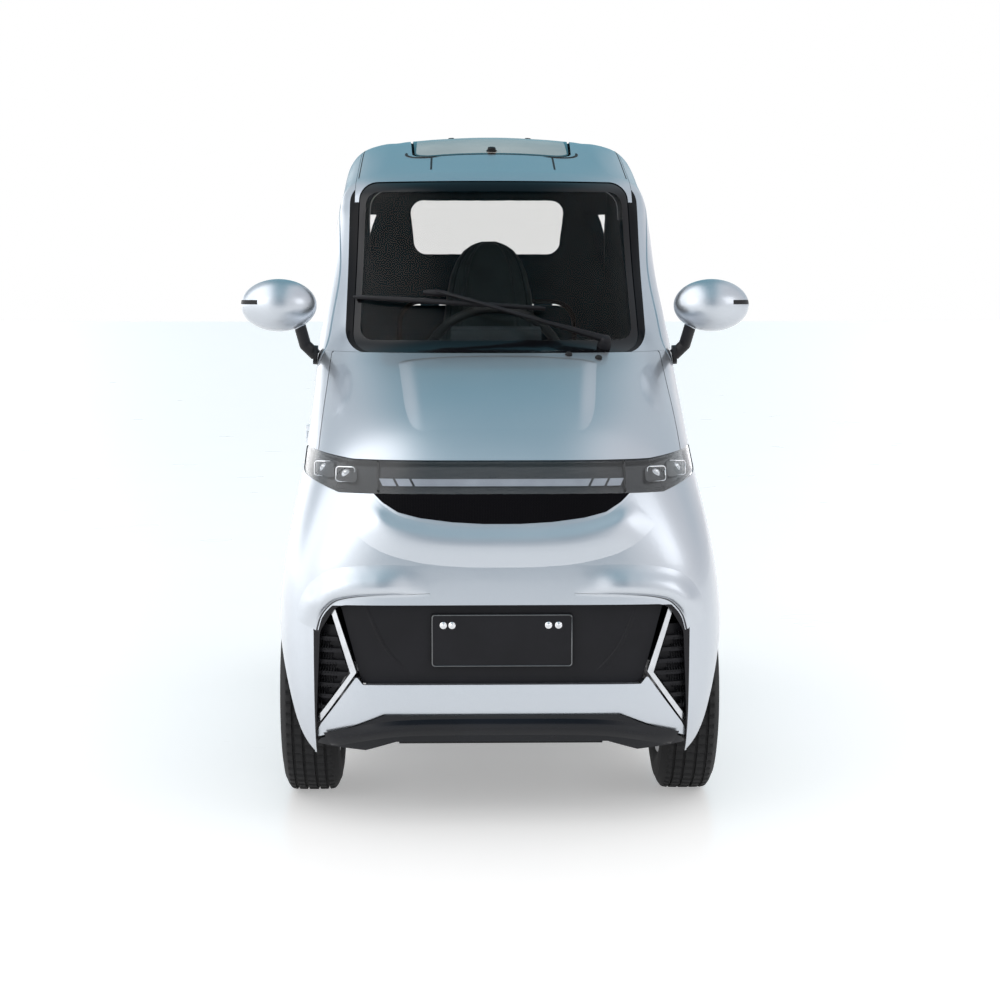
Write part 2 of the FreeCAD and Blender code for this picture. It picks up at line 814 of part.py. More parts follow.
def make_front_shell():
    rear = size("door_front") + 75
    zone = block(-FAR / 2, FAR / 2, nose - 100, rear, size("body_foot"), belt_seam)
    wall = skin(zone, 0, size("panel_wall"))
    sill_front = size("door_front") - shut
    under_door = block(-FAR / 2, FAR / 2, sill_front, FAR, 0, size("door_bottom") - shut + gap)
    wall = wall.cut([under_door, front_arch, below_front_arch, lamp_prism, nose_prism, bonnet_prism, opening_prism])
    zone = lip_prism.cut(opening_prism).common(block(-FAR, FAR, -FAR, front_axle - 60, size("body_foot"), FAR))
    lip = skin(zone, 3, size("lip_depth") - gap).cut(front_arch)
    return wall.cut(door_cuts).fuse(lip).removeSplitter()


def make_bonnet():
    zone = front_prism(grown(bonnet_outline(), -1.5), 8, nose - 100, -300)
    return skin(zone, 0, size("bonnet_wall")).cut(lamp_prism)


def make_cab_sides():
    half = size("roof_seam") + 1
    zone = block(0, FAR / 2, nose + 300, pillar_rear, belt_seam + gap, FAR)
    side = skin(zone, 0, size("cab_wall")).cut([screen_prism, door_cuts])
    above = block(-FAR, half, -FAR, FAR, header_foot, FAR)
    side = side.cut(above)
    solids = sorted(side.Solids, key=lambda s: -s.Volume)[:1]
    return Part.makeCompound([solids[0], mirrored(solids[0])])


def make_screen():
    zone = front_prism(grown(screen_outline(), -gap), size("screen_corner"), nose + 300, SCREEN_BACK)
    inset = size("glass_inset")
    return skin(zone, inset, inset + size("glass_wall"))


def make_door_glass():
    zone = side_prism(grown(door_window_outline(), -gap), 40, 150, 700)
    inset = size("glass_inset") + 6
    return skin(zone, inset, inset + size("glass_wall"))


def make_rear_glass():
    zone = front_prism(grown(rear_window_outline(), -gap), size("rear_window_corner"), 700, tail + 100)
    inset = size("glass_inset")
    return skin(zone, inset, inset + size("glass_wall"))


# Front: lower opening and what fills it, (x, z) of the right half from the top down

def grille_half():
    top = size("opening_top")
    chin = size("chin_top")
    return [(362, top + 6), (352, top - 14), (315, chin + 25), (306, chin + gap)]


def vent_half():
    """Side vent between the opening's edge and the blade."""
    return [(398, 452), (412, 365), (419, 225), (407, 248), (338, 347), (368, 452)]


def blade_half():
    """Bright blade, bent like an arrowhead that points at the middle."""
    return [(368, 496), (378, 492), (334, 347), (418, 230), (404, 230), (320, 349)]


def chin_half():
    top = size("chin_top")
    foot = top - size("chin_height")
    return [(306, top - gap), (320, top + 18), (401, 228), (420, 190), (262, foot + gap)]


def splitter_half():
    foot = size("chin_top") - size("chin_height")
    return [(260, foot - gap), (402, 193), (412, 180), (302, 168), (234, 190)]


def front_slab(points, radius):
    return front_prism(points, radius, nose - 100, front_axle - 60)


def both_sides(shape):
    return Part.makeCompound([shape, mirrored(shape)])


def tyre_room():
    """The space that the right tyre sweeps as it is steered."""
    outer = wheel_out + size("tyre_width") / 2 - size("kingpin_out")
    reach = math.hypot(outer, size("tyre_radius")) + size("steer_clearance")
    return rod(kingpin_point(0), kingpin_point(2 * wheel_height), reach)


def make_grille():
    """Smooth panel with the flat carrier of the number plate, and a ribbed vent each side."""
    depth = size("lip_depth")
    panel = skin(front_slab(symmetric(grille_half()), 4), depth, depth + 8)
    foot = size("plate_foot")
    half = size("plate_width") / 2
    face = nose + size("plate_back")
    carrier = block(-half, half, face, face + size("plate_depth"), foot, foot + size("plate_height"))
    panel = panel.fuse(carrier).removeSplitter()
    vent = skin(front_slab(grown(vent_half(), -gap), 6), depth, depth + 8)
    ribs = []
    for k in range(7):
        foot = 262 + 26 * k
        ribs.append(block(300, 450, nose - 100, front_axle, foot, foot + 9))
    ribs = [rib.common(hull(12)).common(front_slab(grown(vent_half(), -gap), 6)).common(opening_room) for rib in ribs]
    ribs = [rib.cut(hull(30)) for rib in ribs]
    vent = vent.fuse(ribs).removeSplitter()
    vent = vent.cut(tyre_room())
    return Part.makeCompound([panel, vent, mirrored(vent)])


def make_blades():
    blade = skin(front_slab(grown(blade_half(), -gap), 3).common(opening_room), 8, size("lip_depth") + 4)
    return both_sides(blade.cut(tyre_room()))


def make_chin():
    zone = front_slab(symmetric(chin_half()), 4).common(opening_room)
    edge = block(-300, 300, nose - 100, 0, size("chin_top") - 4, size("chin_top") - gap)
    return skin(zone, 5, 14).fuse(skin(edge, 5, size("lip_depth") + 8)).removeSplitter()


def make_splitter():
    splitter = skin(front_slab(symmetric(splitter_half()), 3).common(opening_room), 0, 30)
    return splitter.cut([tyre_room(), mirrored(tyre_room())])


def make_nose_panel():
    """Gloss panel below the lamp bar."""
    zone = front_prism(grown(nose_outline(), -gap), 26, nose - 100, nose + 300)
    lamps = front_prism(grown(lamp_band(), gap), 12, nose - 200, nose + 400)
    return skin(zone.cut(lamps), 1.5, 7.5)


# Lamps

def make_lamp_housing():
    """Tray behind the lens, its rim just under the lens."""
    zone = front_prism(grown(lamp_band(), -gap), 12, nose - 100, front_axle + 80 - gap)
    hollow = front_prism(grown(lamp_band(), -7), 8, nose - 100, front_axle + 80 - 7)
    return skin(zone, 5.8, 22).cut(hull(0).common(hollow).cut(hull(16)))


def make_lamp_lens():
    zone = front_prism(grown(lamp_band(), -gap), 12, nose - 100, front_axle + 80 - gap)
    return skin(zone, 1.5, 5.5)


def make_light_units():
    """The light strip in its middle length and slanted end pieces, and two projectors a side."""
    foot = size("lamp_top") - size("lamp_height")
    low = foot + 16
    high = low + size("strip_height")
    zones = [front_slab([(-190, low), (-198, high), (198, high), (190, low)], 0)]
    for start, end in ((196, 226), (232, 262)):
        piece_zone = front_slab([(start, low), (start + 8, high), (end + 8, high), (end, low)], 0)
        zones += [piece_zone, mirrored(piece_zone)]
    for start in (320, 372):
        lift = (start - 320) * 0.13
        corners = [(start, low + 4 + lift), (start, low + 38 + lift), (start + 46, low + 42 + lift), (start + 46, low + 8 + lift)]
        lamp_zone = front_slab(corners, 9)
        zones += [lamp_zone, mirrored(lamp_zone)]
    return Part.makeCompound([skin(zone, 8.5, 15.7) for zone in zones])


def make_tail_lamps():
    inner = size("boot_half_width") + 14
    foot = size("tail_lamp_foot")
    top = foot + size("tail_lamp_height")
    zone = front_prism([(inner, foot), (inner, top), (700, top), (700, foot)], 10, tail - 210, tail + 100)
    return both_sides(skin(zone, 1.5, 24))


# Wiper, on the windscreen: x and height of its pivot, joint and blade ends

WIPER_PIVOT = (261, 1046)
WIPER_JOINT = (-146, 1168)
WIPER_LEFT = (-349, 1160)
WIPER_RIGHT = (119, 1132)


def strip(start, end, half_start, half_end):
    along = Vector(end[0] - start[0], end[1] - start[1], 0).normalize()
    across = (-along.y, along.x)
    return [
        (start[0] + across[0] * half_start, start[1] + across[1] * half_start),
        (end[0] + across[0] * half_end, end[1] + across[1] * half_end),
        (end[0] - across[0] * half_end, end[1] - across[1] * half_end),
        (start[0] - across[0] * half_start, start[1] - across[1] * half_start),
    ]


def screen_slab(points, radius):
    return front_prism(points, radius, nose + 300, 40)


def make_wiper():
    on_glass = size("glass_inset") - gap
    blade = skin(screen_slab(strip(WIPER_LEFT, WIPER_RIGHT, 5, 5), 2), -9, on_glass)
    arm = skin(screen_slab(strip(WIPER_PIVOT, WIPER_JOINT, 9, 5), 3), -15, -8)
    x, z = WIPER_JOINT
    joint = skin(screen_slab([(x - 26, z - 10), (x - 26, z + 10), (x + 26, z + 7), (x + 26, z - 13)], 4), -17, -6)
    x, z = WIPER_PIVOT
    pivot = skin(screen_slab([(x - 14, z - 2), (x - 14, z + 14), (x + 14, z + 14), (x + 14, z - 2)], 6), -15, on_glass)
    return blade.fuse([arm, joint, pivot]).removeSplitter()


# Under the body

rail_top = size("rail_foot") + size("rail_height")
floor_foot = rail_top + gap
floor_top = floor_foot + size("floor_wall")
bulkhead_front = nose + size("bulkhead_back")
wall = size("floor_wall")
deck_rear = tail - 75


def make_floor_pan():
    """Floor, bulkhead with a raised toe board over the wheels, and the luggage deck with its riser."""
    cabin = size("cabin_half_width")
    foot = size("foot_half_width")
    arch_end = front_axle + size("arch_radius") + 8
    profile = side_prism(
        [
            (bulkhead_front, floor_foot),
            (bulkhead_front, size("bulkhead_top")),
            (bulkhead_front + wall, size("bulkhead_top")),
            (bulkhead_front + wall, floor_top),
            (size("deck_front"), floor_top),
            (size("deck_front"), size("deck_top")),
            (deck_rear, size("deck_top")),
            (deck_rear, size("deck_top") - wall),
            (size("deck_front") + wall, size("deck_top") - wall),
            (size("deck_front") + wall, floor_foot),
        ],
        0,
        -cabin,
        cabin,
    )
    liner_half = foot
    sides = block(liner_half, FAR, -FAR, arch_end, 0, front_arch_top)
    rear_sides = block(rear_liner_half - gap, FAR, rear_axle - size("rear_arch_radius") - 14, FAR, 0, deck_clear)
    narrow = profile.cut([sides, mirrored(sides), rear_sides, mirrored(rear_sides)])
    narrow = narrow.common(hull(size("rear_wall") + gap))
    return narrow.cut([Part.makeCylinder(30, 200, Vector(0, bulkhead_front - 60, 560), Vector(0, 1, 0))])


front_arch_top = wheel_height + size("arch_radius") + 6
rear_liner_half = wheel_out - size("tyre_width") / 2 - 22
deck_clear = size("deck_top") - wall - 2


def liner_cylinder(axle, radius, inner):
    return Part.makeCylinder(radius, 400, Vector(inner, axle, wheel_height), Vector(1, 0, 0))


def largest(shape):
    return sorted(shape.Solids, key=lambda s: -s.Volume)[0]


def make_front_liner():
    """Curved inner wing over the right front wheel, closed inwards, with a turret for the spring."""
    thickness = size("liner_wall")
    radius = size("arch_radius") - 4
    inner = size("foot_half_width") + gap
    bore = liner_cylinder(front_axle, radius - thickness, inner + thickness)
    liner = liner_cylinder(front_axle, radius, inner).cut(bore)
    liner = liner.cut(block(0, FAR, -FAR, FAR, -FAR, wheel_height - 40))
    liner = liner.common(hull(size("panel_wall") + gap))
    slot = block(0, 400, rack_back - 30, rack_back + 30, rack_height - 40, rack_height + 40)
    strut_hole = rod(kingpin_point(wheel_height), kingpin_point(800), size("spring_radius") + 14)
    arm_room = block(0, 400, front_axle - 150, front_axle + 150, 0, 300)
    vent_room = block(0, 425, -FAR, front_axle - 272, 0, size("opening_top") + 10)
    liner = liner.cut([slot, strut_hole, arm_room, vent_room])
    turret = rod(kingpin_point(480), kingpin_point(size("strut_top") + 6), size("spring_radius") + 18)
    room = rod(kingpin_point(300), kingpin_point(size("strut_top") + gap), size("spring_radius") + 14)
    return largest(liner.fuse(turret.cut(bore)).cut(room))


def make_rear_liner():
    """Curved inner wing over the right rear wheel, open where the axle comes through."""
    thickness = size("liner_wall")
    radius = size("rear_arch_radius") - 4
    inner = rear_liner_half
    bore = liner_cylinder(rear_axle, radius - thickness, inner + thickness)
    liner = liner_cylinder(rear_axle, radius, inner).cut(bore)
    liner = liner.cut(block(0, FAR, -FAR, FAR, -FAR, wheel_height - 40))
    liner = liner.common(hull(size("rear_wall") + gap))
    axle_room = Part.makeCylinder(70, 200, Vector(inner - 20, rear_axle, wheel_height), Vector(1, 0, 0))
    liner = liner.cut([axle_room, block(0, 400, rear_axle - 70, rear_axle + 70, 0, wheel_height)])
    return largest(liner)


def kingpin_point(height):
    """A point of the right front wheel's steering axis."""
    lean = math.tan(math.radians(size("kingpin_lean")))
    return Vector(size("kingpin_out") - (height - wheel_height) * lean, front_axle, height)


rack_back = front_axle + size("steering_arm")
rack_height = wheel_height + size("rack_rise")


# The same places as expressions of the sheet's cells

front_axle_y = cell("front_axle_back") - cell("overall_length") / 2
rear_axle_y = front_axle_y + cell("wheelbase")
hub_z = cell("tyre_radius")
rack_y = front_axle_y + cell("steering_arm")
rack_z = hub_z + cell("rack_rise")
rail_foot_z = cell("rail_foot")
rail_top_z = rail_foot_z + cell("rail_height")
lean_slope = cell_tangent("kingpin_lean")
lean_turn = (Vector(0, 1, 0), -size("kingpin_lean"))


def add_chassis_frame():
    """Ladder frame with beams behind both bumpers, and the steering rack's housing."""
    half = cell("rail_half_gap")
    width = cell("rail_width")
    height = cell("rail_height")
    front = cell("rail_front") - cell("overall_length") / 2
    rear = cell("overall_length") / 2 - cell("rail_rear")
    length = rear - front
    pieces = [
        box_part("rail_right", half, front, rail_foot_z, width, length, height),
        box_part("rail_left", -half - width, front, rail_foot_z, width, length, height),
    ]
    crossings = (
        front,
        front_axle_y - 40,
        cell("bulkhead_back") - cell("overall_length") / 2,
        sized(60),
        cell("deck_front") - 20,
        rear - width,
    )
    for k, back in enumerate(crossings):
        name = "cross_member_%d" % (k + 1)
        pieces.append(box_part(name, -half, back, rail_foot_z, half * 2, width, height))
    beam = cell("beam_wall")
    reach = cell("rear_beam_half")
    rise = cell("beam_rise")
    pieces.append(box_part("front_beam", -half - width, front - beam, rail_foot_z, (half + width) * 2, beam, height + rise))
    pieces.append(box_part("rear_beam", -reach, rear, rail_foot_z, reach * 2, beam, height + rise))
    housing = cell("rack_housing_radius")
    pieces.append(box_part("rack_member", -half, rack_y - 14, rail_foot_z, half * 2, 28, height))
    pieces.append(box_part("rack_post", -60, rack_y - 14, rail_top_z, 120, 28, rack_z - rail_top_z))
    pieces.append(cylinder_part("rack_housing", -130, rack_y, rack_z, housing, 260, TURN_TO_X))
    bore = cylinder_part("rack_bore", -150, rack_y, rack_z, cell("rack_radius") + cell("seat_gap"), 300, TURN_TO_X)
    return cut_part("chassis_frame", fused_part("frame_members", pieces), bore)


def add_rack_rod():
    """Steering rack with its track rods, which end over the knuckles' arms."""
    reach = cell("kingpin_out") - cell("steering_eye_in")
    bar = cylinder_part("rack_bar", -reach, rack_y, rack_z, cell("rack_radius"), reach * 2, TURN_TO_X)
    ends = [cylinder_part("rod_end_" + side, x, rack_y, rack_z - 10, 15, 24) for side, x in (("right", reach), ("left", -reach))]
    return fused_part("rack_rod", [bar] + ends)


def kingpin_rod(name, low, high, radius):
    """A cylinder on the right steering axis between two heights."""
    x = cell("kingpin_out") - (low - hub_z) * lean_slope
    length = (high - low) / cell_cosine("kingpin_lean")
    return cylinder_part(name, x, front_axle_y, low, radius, length, lean_turn)


ball_height = wheel_height - size("ball_drop")


def add_knuckle():
    """Right knuckle: hub carrier, stub axle, steering arm and the strut's turning lower tube."""
    inner = cell("track") / 2 - cell("tyre_width") / 2
    stub_end = cell("track") / 2 + cell("rim_width") / 2 - cell("cap_depth") - cell("seat_gap")
    carrier = cylinder_part("hub_carrier", inner + 4, front_axle_y, hub_z, cell("hub_carrier_radius"), 34, TURN_TO_X)
    stub = cylinder_part("front_stub", inner + 30, front_axle_y, hub_z, cell("stub_radius"), stub_end - inner - 30, TURN_TO_X)
    tube = kingpin_rod("strut_tube", hub_z - 60, cell("spring_foot") - 1, cell("strut_radius"))
    ball = kingpin_rod("ball_pin", hub_z - cell("ball_drop"), hub_z - 50, 14)
    eye_x = cell("kingpin_out") - cell("steering_eye_in")
    arm_z = rack_z - cell("rack_rise") - 22
    arm = box_part("steering_arm_bar", eye_x, front_axle_y + 5, arm_z, cell("steering_eye_in"), cell("steering_arm") - 5, 16)
    eye = cylinder_part("steering_eye", eye_x, rack_y, arm_z, 14, 20)
    return fused_part("knuckle_right", [carrier, stub, tube, ball, arm, eye])


def make_front_suspension():
    """Lower arms, and the struts' upper halves with spring seats and coils."""
    low = kingpin_point(ball_height)
    down = (kingpin_point(0) - kingpin_point(100)).normalize()
    cup = rod(low + down * (gap + 26), low + down * gap, 18)
    rail = size("rail_half_gap") + size("rail_width") + gap
    pieces = []
    for back in (-115, 115):
        pivot = Vector(rail + 12, front_axle + back, size("rail_foot") + 12)
        pieces.append(rod(pivot, low + down * (gap + 18), size("arm_radius")))
        bush = Part.makeCylinder(17, 40, Vector(rail + 17, front_axle + back - 20, size("rail_foot") + 12), Vector(0, 1, 0))
        pieces.append(bush)
    arm = cup.fuse(pieces)
    foot, top = size("spring_foot"), size("strut_top")
    core = rod(kingpin_point(foot + gap), kingpin_point(top), 16)
    seats = [rod(kingpin_point(z), kingpin_point(z + 6), size("spring_radius") + 6) for z in (foot + gap, top - 6)]
    rings = []
    turns = 5
    pitch = (top - foot - 16) / turns
    lean = kingpin_point(100) - kingpin_point(0)
    for k in range(turns):
        centre = kingpin_point(foot + 8 + pitch * (k + 0.5))
        rings.append(Part.makeCylinder(size("spring_radius"), pitch * 0.55, centre, lean))
    strut = core.fuse(seats + rings).removeSplitter()
    return Part.makeCompound([arm, mirrored(arm), strut, mirrored(strut)])


def add_rear_axle():
    """Live axle with its motor, trailing arms and springs."""
    end = cell("track") / 2 - cell("tyre_width") / 2 + 8
    stub_end = cell("track") / 2 + cell("rim_width") / 2 - cell("cap_depth") - cell("seat_gap")
    motor = cell("motor_length")
    spring_x = cell("rear_spring_out")
    arm_x = cell("rear_arm_out")
    deck_foot = cell("deck_top") - cell("floor_wall") - 2 - cell("seat_gap")
    bush_end = cell("rail_half_gap") + cell("rail_width") + cell("seat_gap")
    pieces = [
        cylinder_part("axle_tube", -end, rear_axle_y, hub_z, cell("axle_radius"), end * 2, TURN_TO_X),
        cylinder_part("motor_case", -motor / 2, rear_axle_y, hub_z, cell("motor_radius"), motor, TURN_TO_X),
    ]
    right = [
        cylinder_part("drum", end, rear_axle_y, hub_z, cell("drum_radius"), 22, TURN_TO_X),
        cylinder_part("rear_stub", end + 10, rear_axle_y, hub_z, cell("stub_radius"), stub_end - end - 10, TURN_TO_X),
        cylinder_part("rear_spring", spring_x, rear_axle_y, hub_z + 20, 42, 170),
        cylinder_part("spring_post", spring_x, rear_axle_y, hub_z + 20, 20, deck_foot - hub_z - 20),
        box_part("trailing_arm", arm_x - 12, rear_axle_y - 330, rail_foot_z + 12, 24, 330, 34),
        box_part("arm_bracket", arm_x - 12, rear_axle_y - 30, rail_foot_z + 40, 24, 30, 42),
        cylinder_part("arm_bush", bush_end, rear_axle_y - 330, rail_foot_z + 29, 18, arm_x + 12 - bush_end, TURN_TO_X),
    ]
    side = fused_part("axle_end_right", right)
    return fused_part("rear_axle", pieces + [side, mirrored_part("axle_end_left", side)])


# Wheels

def add_tyre(label):
    """Section turned round the axle: it sits on the rim's beads, bulges and carries a flat tread.
    The section starts at the tyre's inner side."""
    body = doc.addObject("PartDesign::Body", label)
    half = cell("tyre_width") / 2
    radius = cell("tyre_radius")
    bead = cell("bead_radius")
    seat = cell("rim_width") / 2 - cell("flange_wall") - cell("seat_gap")
    lip = bead + cell("rim_flange") + 3
    bulge = lip + (radius - lip) * 0.45
    shoulder = cell("tyre_shoulder")
    revolved(body, label + "_section", [
        (half - seat, bead), (half + seat, bead), (half + seat, lip), (half * 2, bulge),
        (half * 2 - shoulder, radius), (shoulder, radius), (0, bulge), (half - seat, lip),
    ])
    return body


def add_rim(label):
    """Barrel with flanges, a dished disc with windows between its spokes, and a bored boss.
    The profile starts at the rim's inner side."""
    body = doc.addObject("PartDesign::Body", label)
    width = cell("rim_width")
    bead = cell("bead_radius") - cell("seat_gap")
    inner = bead - cell("rim_wall") - 12
    edge = bead + cell("rim_flange")
    flange = cell("flange_wall")
    well = cell("rim_width") / 2
    revolved(body, label + "_barrel", [
        (0, inner), (width, inner), (width, edge), (width - flange, edge), (width - flange, bead),
        (well + 30, bead), (well + 14, bead - 12), (well - 14, bead - 12), (well - 30, bead),
        (flange, bead), (flange, edge), (0, edge),
    ])
    hub = cell("hub_radius")
    bore = cell("stub_radius") + cell("seat_gap")
    face = width - cell("cap_depth") + 8
    back = face - cell("disc_wall")
    revolved(body, label + "_disc", [
        (back - 10, bore), (face - 8, bore), (face - 8, hub - 14), (face - 20, hub + 16), (face - 2, inner + 1),
        (face - 14, inner + 1), (back - 14, hub + 14), (back - 10, hub - 6),
    ])
    window = polygon_sketch(body, label + "_window_outline", "YZ_Plane", [
        (-7, hub + 12), (7, hub + 12), (20, inner - 12), (-20, inner - 12),
    ])
    pocket = pocketed(body, label + "_window", window)
    pattern = body.newObject("PartDesign::PolarPattern", label + "_windows")
    pattern.Originals = [pocket]
    pattern.Axis = (origin_item(body, "X_Axis"), [""])
    pattern.Angle = 360.0
    pattern.Occurrences = int(size("spoke_count"))
    pattern.setExpression("Occurrences", "Sizes.spoke_count")
    body.Tip = pattern
    cap = width - cell("cap_depth")
    revolved(body, label + "_cap", [(cap, 0), (cap + cell("cap_wall"), 0), (cap + cell("cap_wall"), hub - 20), (cap, hub - 20)])
    return body


# Inside

def make_dashboard():
    """Padded shelf under the windscreen with the instrument pod and the steering column."""
    foot = size("bulkhead_top") - 40
    front = bulkhead_front + wall + gap
    half = 385
    shelf = side_prism(
        [(front, foot), (front, belt_seam - 22), (front + 60, belt_seam - 12), (front + 190, belt_seam - 30),
         (front + 225, belt_seam - 70), (front + 190, foot), ],
        28,
        -half,
        half,
    )
    pod = side_prism(
        [(front + 70, belt_seam - 60), (front + 90, belt_seam + 50), (front + 160, belt_seam + 62), (front + 200, belt_seam - 60)],
        22,
        -112,
        112,
    )
    start = wheel_plane_point(-70)
    column = rod(start, wheel_plane_point(-330), 30)
    shelf = shelf.fuse([pod, column]).removeSplitter()
    return shelf.common(hull(size("door_wall") + 8))


def wheel_plane_point(along):
    """A point on the steering column, measured from the steering wheel towards the driver."""
    rake = math.radians(size("column_rake"))
    centre = Vector(0, size("steering_wheel_back"), size("steering_wheel_height"))
    return centre + Vector(0, math.cos(rake), math.sin(rake)) * along


def add_steering_wheel():
    """Rim, boss and three spokes, made flat and then turned onto the column."""
    radius = cell("steering_wheel_radius")
    ring = bind(doc.addObject("Part::Torus", "wheel_grip"), Radius1=radius, Radius2=cell("steering_rim_radius"))
    boss = cylinder_part("wheel_boss", 0, 0, -26, 52, 34)
    shaft = cylinder_part("wheel_shaft", 0, 0, cell("seat_gap") - 70, 20, sized(44) - cell("seat_gap"))
    spokes = [
        box_part("spoke_right", 0, -20, -14, radius - 4, 40, 14),
        box_part("spoke_left", -radius + 4, -20, -14, radius - 4, 40, 14),
        box_part("spoke_low", -20, -radius + 4, -14, 40, radius - 4, 14),
    ]
    item = fused_part("steering_wheel", [ring, boss, shaft] + spokes)
    turn = (Vector(-1, 0, 0), 90 - size("column_rake"))
    place(item, 0, cell("steering_wheel_back"), cell("steering_wheel_height"), turn)
    item.setExpression(".Placement.Rotation.Angle", "90 - Sizes.column_rake")
    return item


cushion_foot = floor_top + gap + size("battery_height") + gap


def add_seat_cushion():
    """Pad with rounded corners and a softened top edge."""
    body = doc.addObject("PartDesign::Body", "seat_cushion")
    half = cell("cushion_width") / 2
    length = cell("cushion_length")
    taper = cell("cushion_taper")
    pad = body.newObject("PartDesign::Pad", "cushion_pad")
    pad.Profile = polygon_sketch(body, "cushion_outline", "XY_Plane", [(-half, 0), (half, 0), (half - taper, length), (taper - half, length)])
    bind(pad, Length=cell("cushion_thickness"))
    doc.recompute()
    upright = ["Edge%d" % (k + 1) for k, edge in enumerate(pad.Shape.Edges) if edge.BoundBox.ZLength > 1]
    corners = body.newObject("PartDesign::Fillet", "cushion_corners")
    corners.Base = (pad, upright)
    bind(corners, Radius=cell("cushion_corner"))
    doc.recompute()
    edges = corners.Shape.Edges
    top = ["Edge%d" % (k + 1) for k, edge in enumerate(edges) if edge.BoundBox.ZMin > size("cushion_thickness") - 0.1]
    rim = body.newObject("PartDesign::Fillet", "cushion_rim")
    rim.Base = (corners, top)
    bind(rim, Radius=cell("cushion_edge"))
    body.Tip = rim
    floor_top_z = rail_top_z + cell("seat_gap") + cell("floor_wall")
    place(body, 0, cell("cushion_front"), floor_top_z + cell("seat_gap") * 2 + cell("battery_height"))
    return body


def make_seat_back():
    """Tall back that narrows to a rounded head."""
    lean = math.tan(math.radians(size("backrest_lean")))
    foot = cushion_foot + size("cushion_thickness") + gap
    top = foot + size("backrest_height")
    depth = size("backrest_thickness")
    start = size("cushion_front") + size("cushion_length") - depth
    sections = []
    for share, width, thick in ((0, 420, 1.0), (0.3, 400, 1.0), (0.52, 330, 0.95), (0.68, 250, 0.85), (0.9, 196, 0.75), (1.0, 130, 0.5)):
        height = foot + (top - foot) * share
        back = start + (height - foot) * lean + depth * (1 - thick) / 2
        half = width / 2
        rim = depth * thick
        sections.append(top_outline([(-half, back), (half, back), (half, back + rim), (-half, back + rim)], 0.35 * rim, height))
    return Part.makeLoft(sections, True, False)


def add_battery_pack():
    """The drive battery, one block under the seat."""
    width = cell("battery_width")
    foot = rail_top_z + cell("seat_gap") * 2 + cell("floor_wall")
    return box_part("battery_pack", -width / 2, cell("battery_front"), foot, width, cell("battery_length"), cell("battery_height"))


# Sills and rear bumper

def make_sills():
    inner = size("cabin_half_width") + gap
    front = size("door_front") - shut + gap
    rear = rear_axle - size("rear_arch_radius") - gap
    zone = block(inner, FAR, front, rear, size("body_foot"), size("door_bottom") - shut)
    return both_sides(hull(0).common(zone))


def make_rear_bumper():
    top = size("rear_bumper_top")
    zone = block(-FAR, FAR, rear_axle + 100, FAR, size("body_foot"), top - gap)
    return skin(zone, 0, 24).cut([rear_arch, below_rear_arch])


# Doors, hatch and lid

hinge_lean = math.tan(math.radians(size("hinge_lean")))
hinge_back = size("door_front") - shut / 2


def hinge_point(height):
    """A point of the right door's hinge axis."""
    return Vector(size("hinge_out") - (height - 460) * hinge_lean, hinge_back, height)


def hinge_parts():
    """Knuckles of the two right hinges: those of the body and those of the door."""
    radius = size("hinge_radius")
    length = size("hinge_length")
    body_parts, door_parts = [], []
    for foot in (size("hinge_low"), size("hinge_high")):
        third = length / 3
        for k in range(3):
            low = foot + third * k + size("hinge_play") / 2
            top = low + third - size("hinge_play")
            knuckle = rod(hinge_point(low), hinge_point(top), radius)
            reach = 30
            side = -1 if k == 1 else 1
            start = hinge_back if side == 1 else hinge_back - reach
            x = hinge_point(low).x
            strap = block(x - 22, x + radius * 0.4, start, start + reach, low, top)
            if k == 1:
                body_parts.append(knuckle.fuse(strap))
            else:
                door_parts.append(knuckle.fuse(strap))
    return body_parts, door_parts


def hinge_room():
    """Space kept free round the right hinges in door and wing."""
    rooms = []
    for foot in (size("hinge_low"), size("hinge_high")):
        rooms.append(rod(hinge_point(foot - 4), hinge_point(foot + size("hinge_length") + 4), size("hinge_radius") + 5))
    return rooms


def make_door():
    shell = skin(door_zone, 0, size("door_wall")).cut(side_prism(door_window_outline(), 40, 150, 700))
    shell = shell.cut(hinge_room())
    return shell.fuse(hinge_parts()[1]).removeSplitter()


def mirror_egg():
    """Half an ellipse turned round its long axis, with a small flat at each end."""
    half, rise = size("mirror_half_width"), size("mirror_half_height")
    start = math.radians(7)
    tip, low = half * math.cos(start), rise * math.sin(start)
    curve = Part.Ellipse(Vector(0, 0, 0), half, rise)
    edges = [
        curve.toShape(start, math.pi - start),
        Part.makeLine(Vector(-tip, low, 0), Vector(-tip, 0, 0)),
        Part.makeLine(Vector(-tip, 0, 0), Vector(tip, 0, 0)),
        Part.makeLine(Vector(tip, 0, 0), Vector(tip, low, 0)),
    ]
    egg = Part.Face(Part.Wire(edges)).revolve(Vector(0, 0, 0), Vector(1, 0, 0), 360)
    if egg.Volume < 0:
        egg.reverse()
    return egg


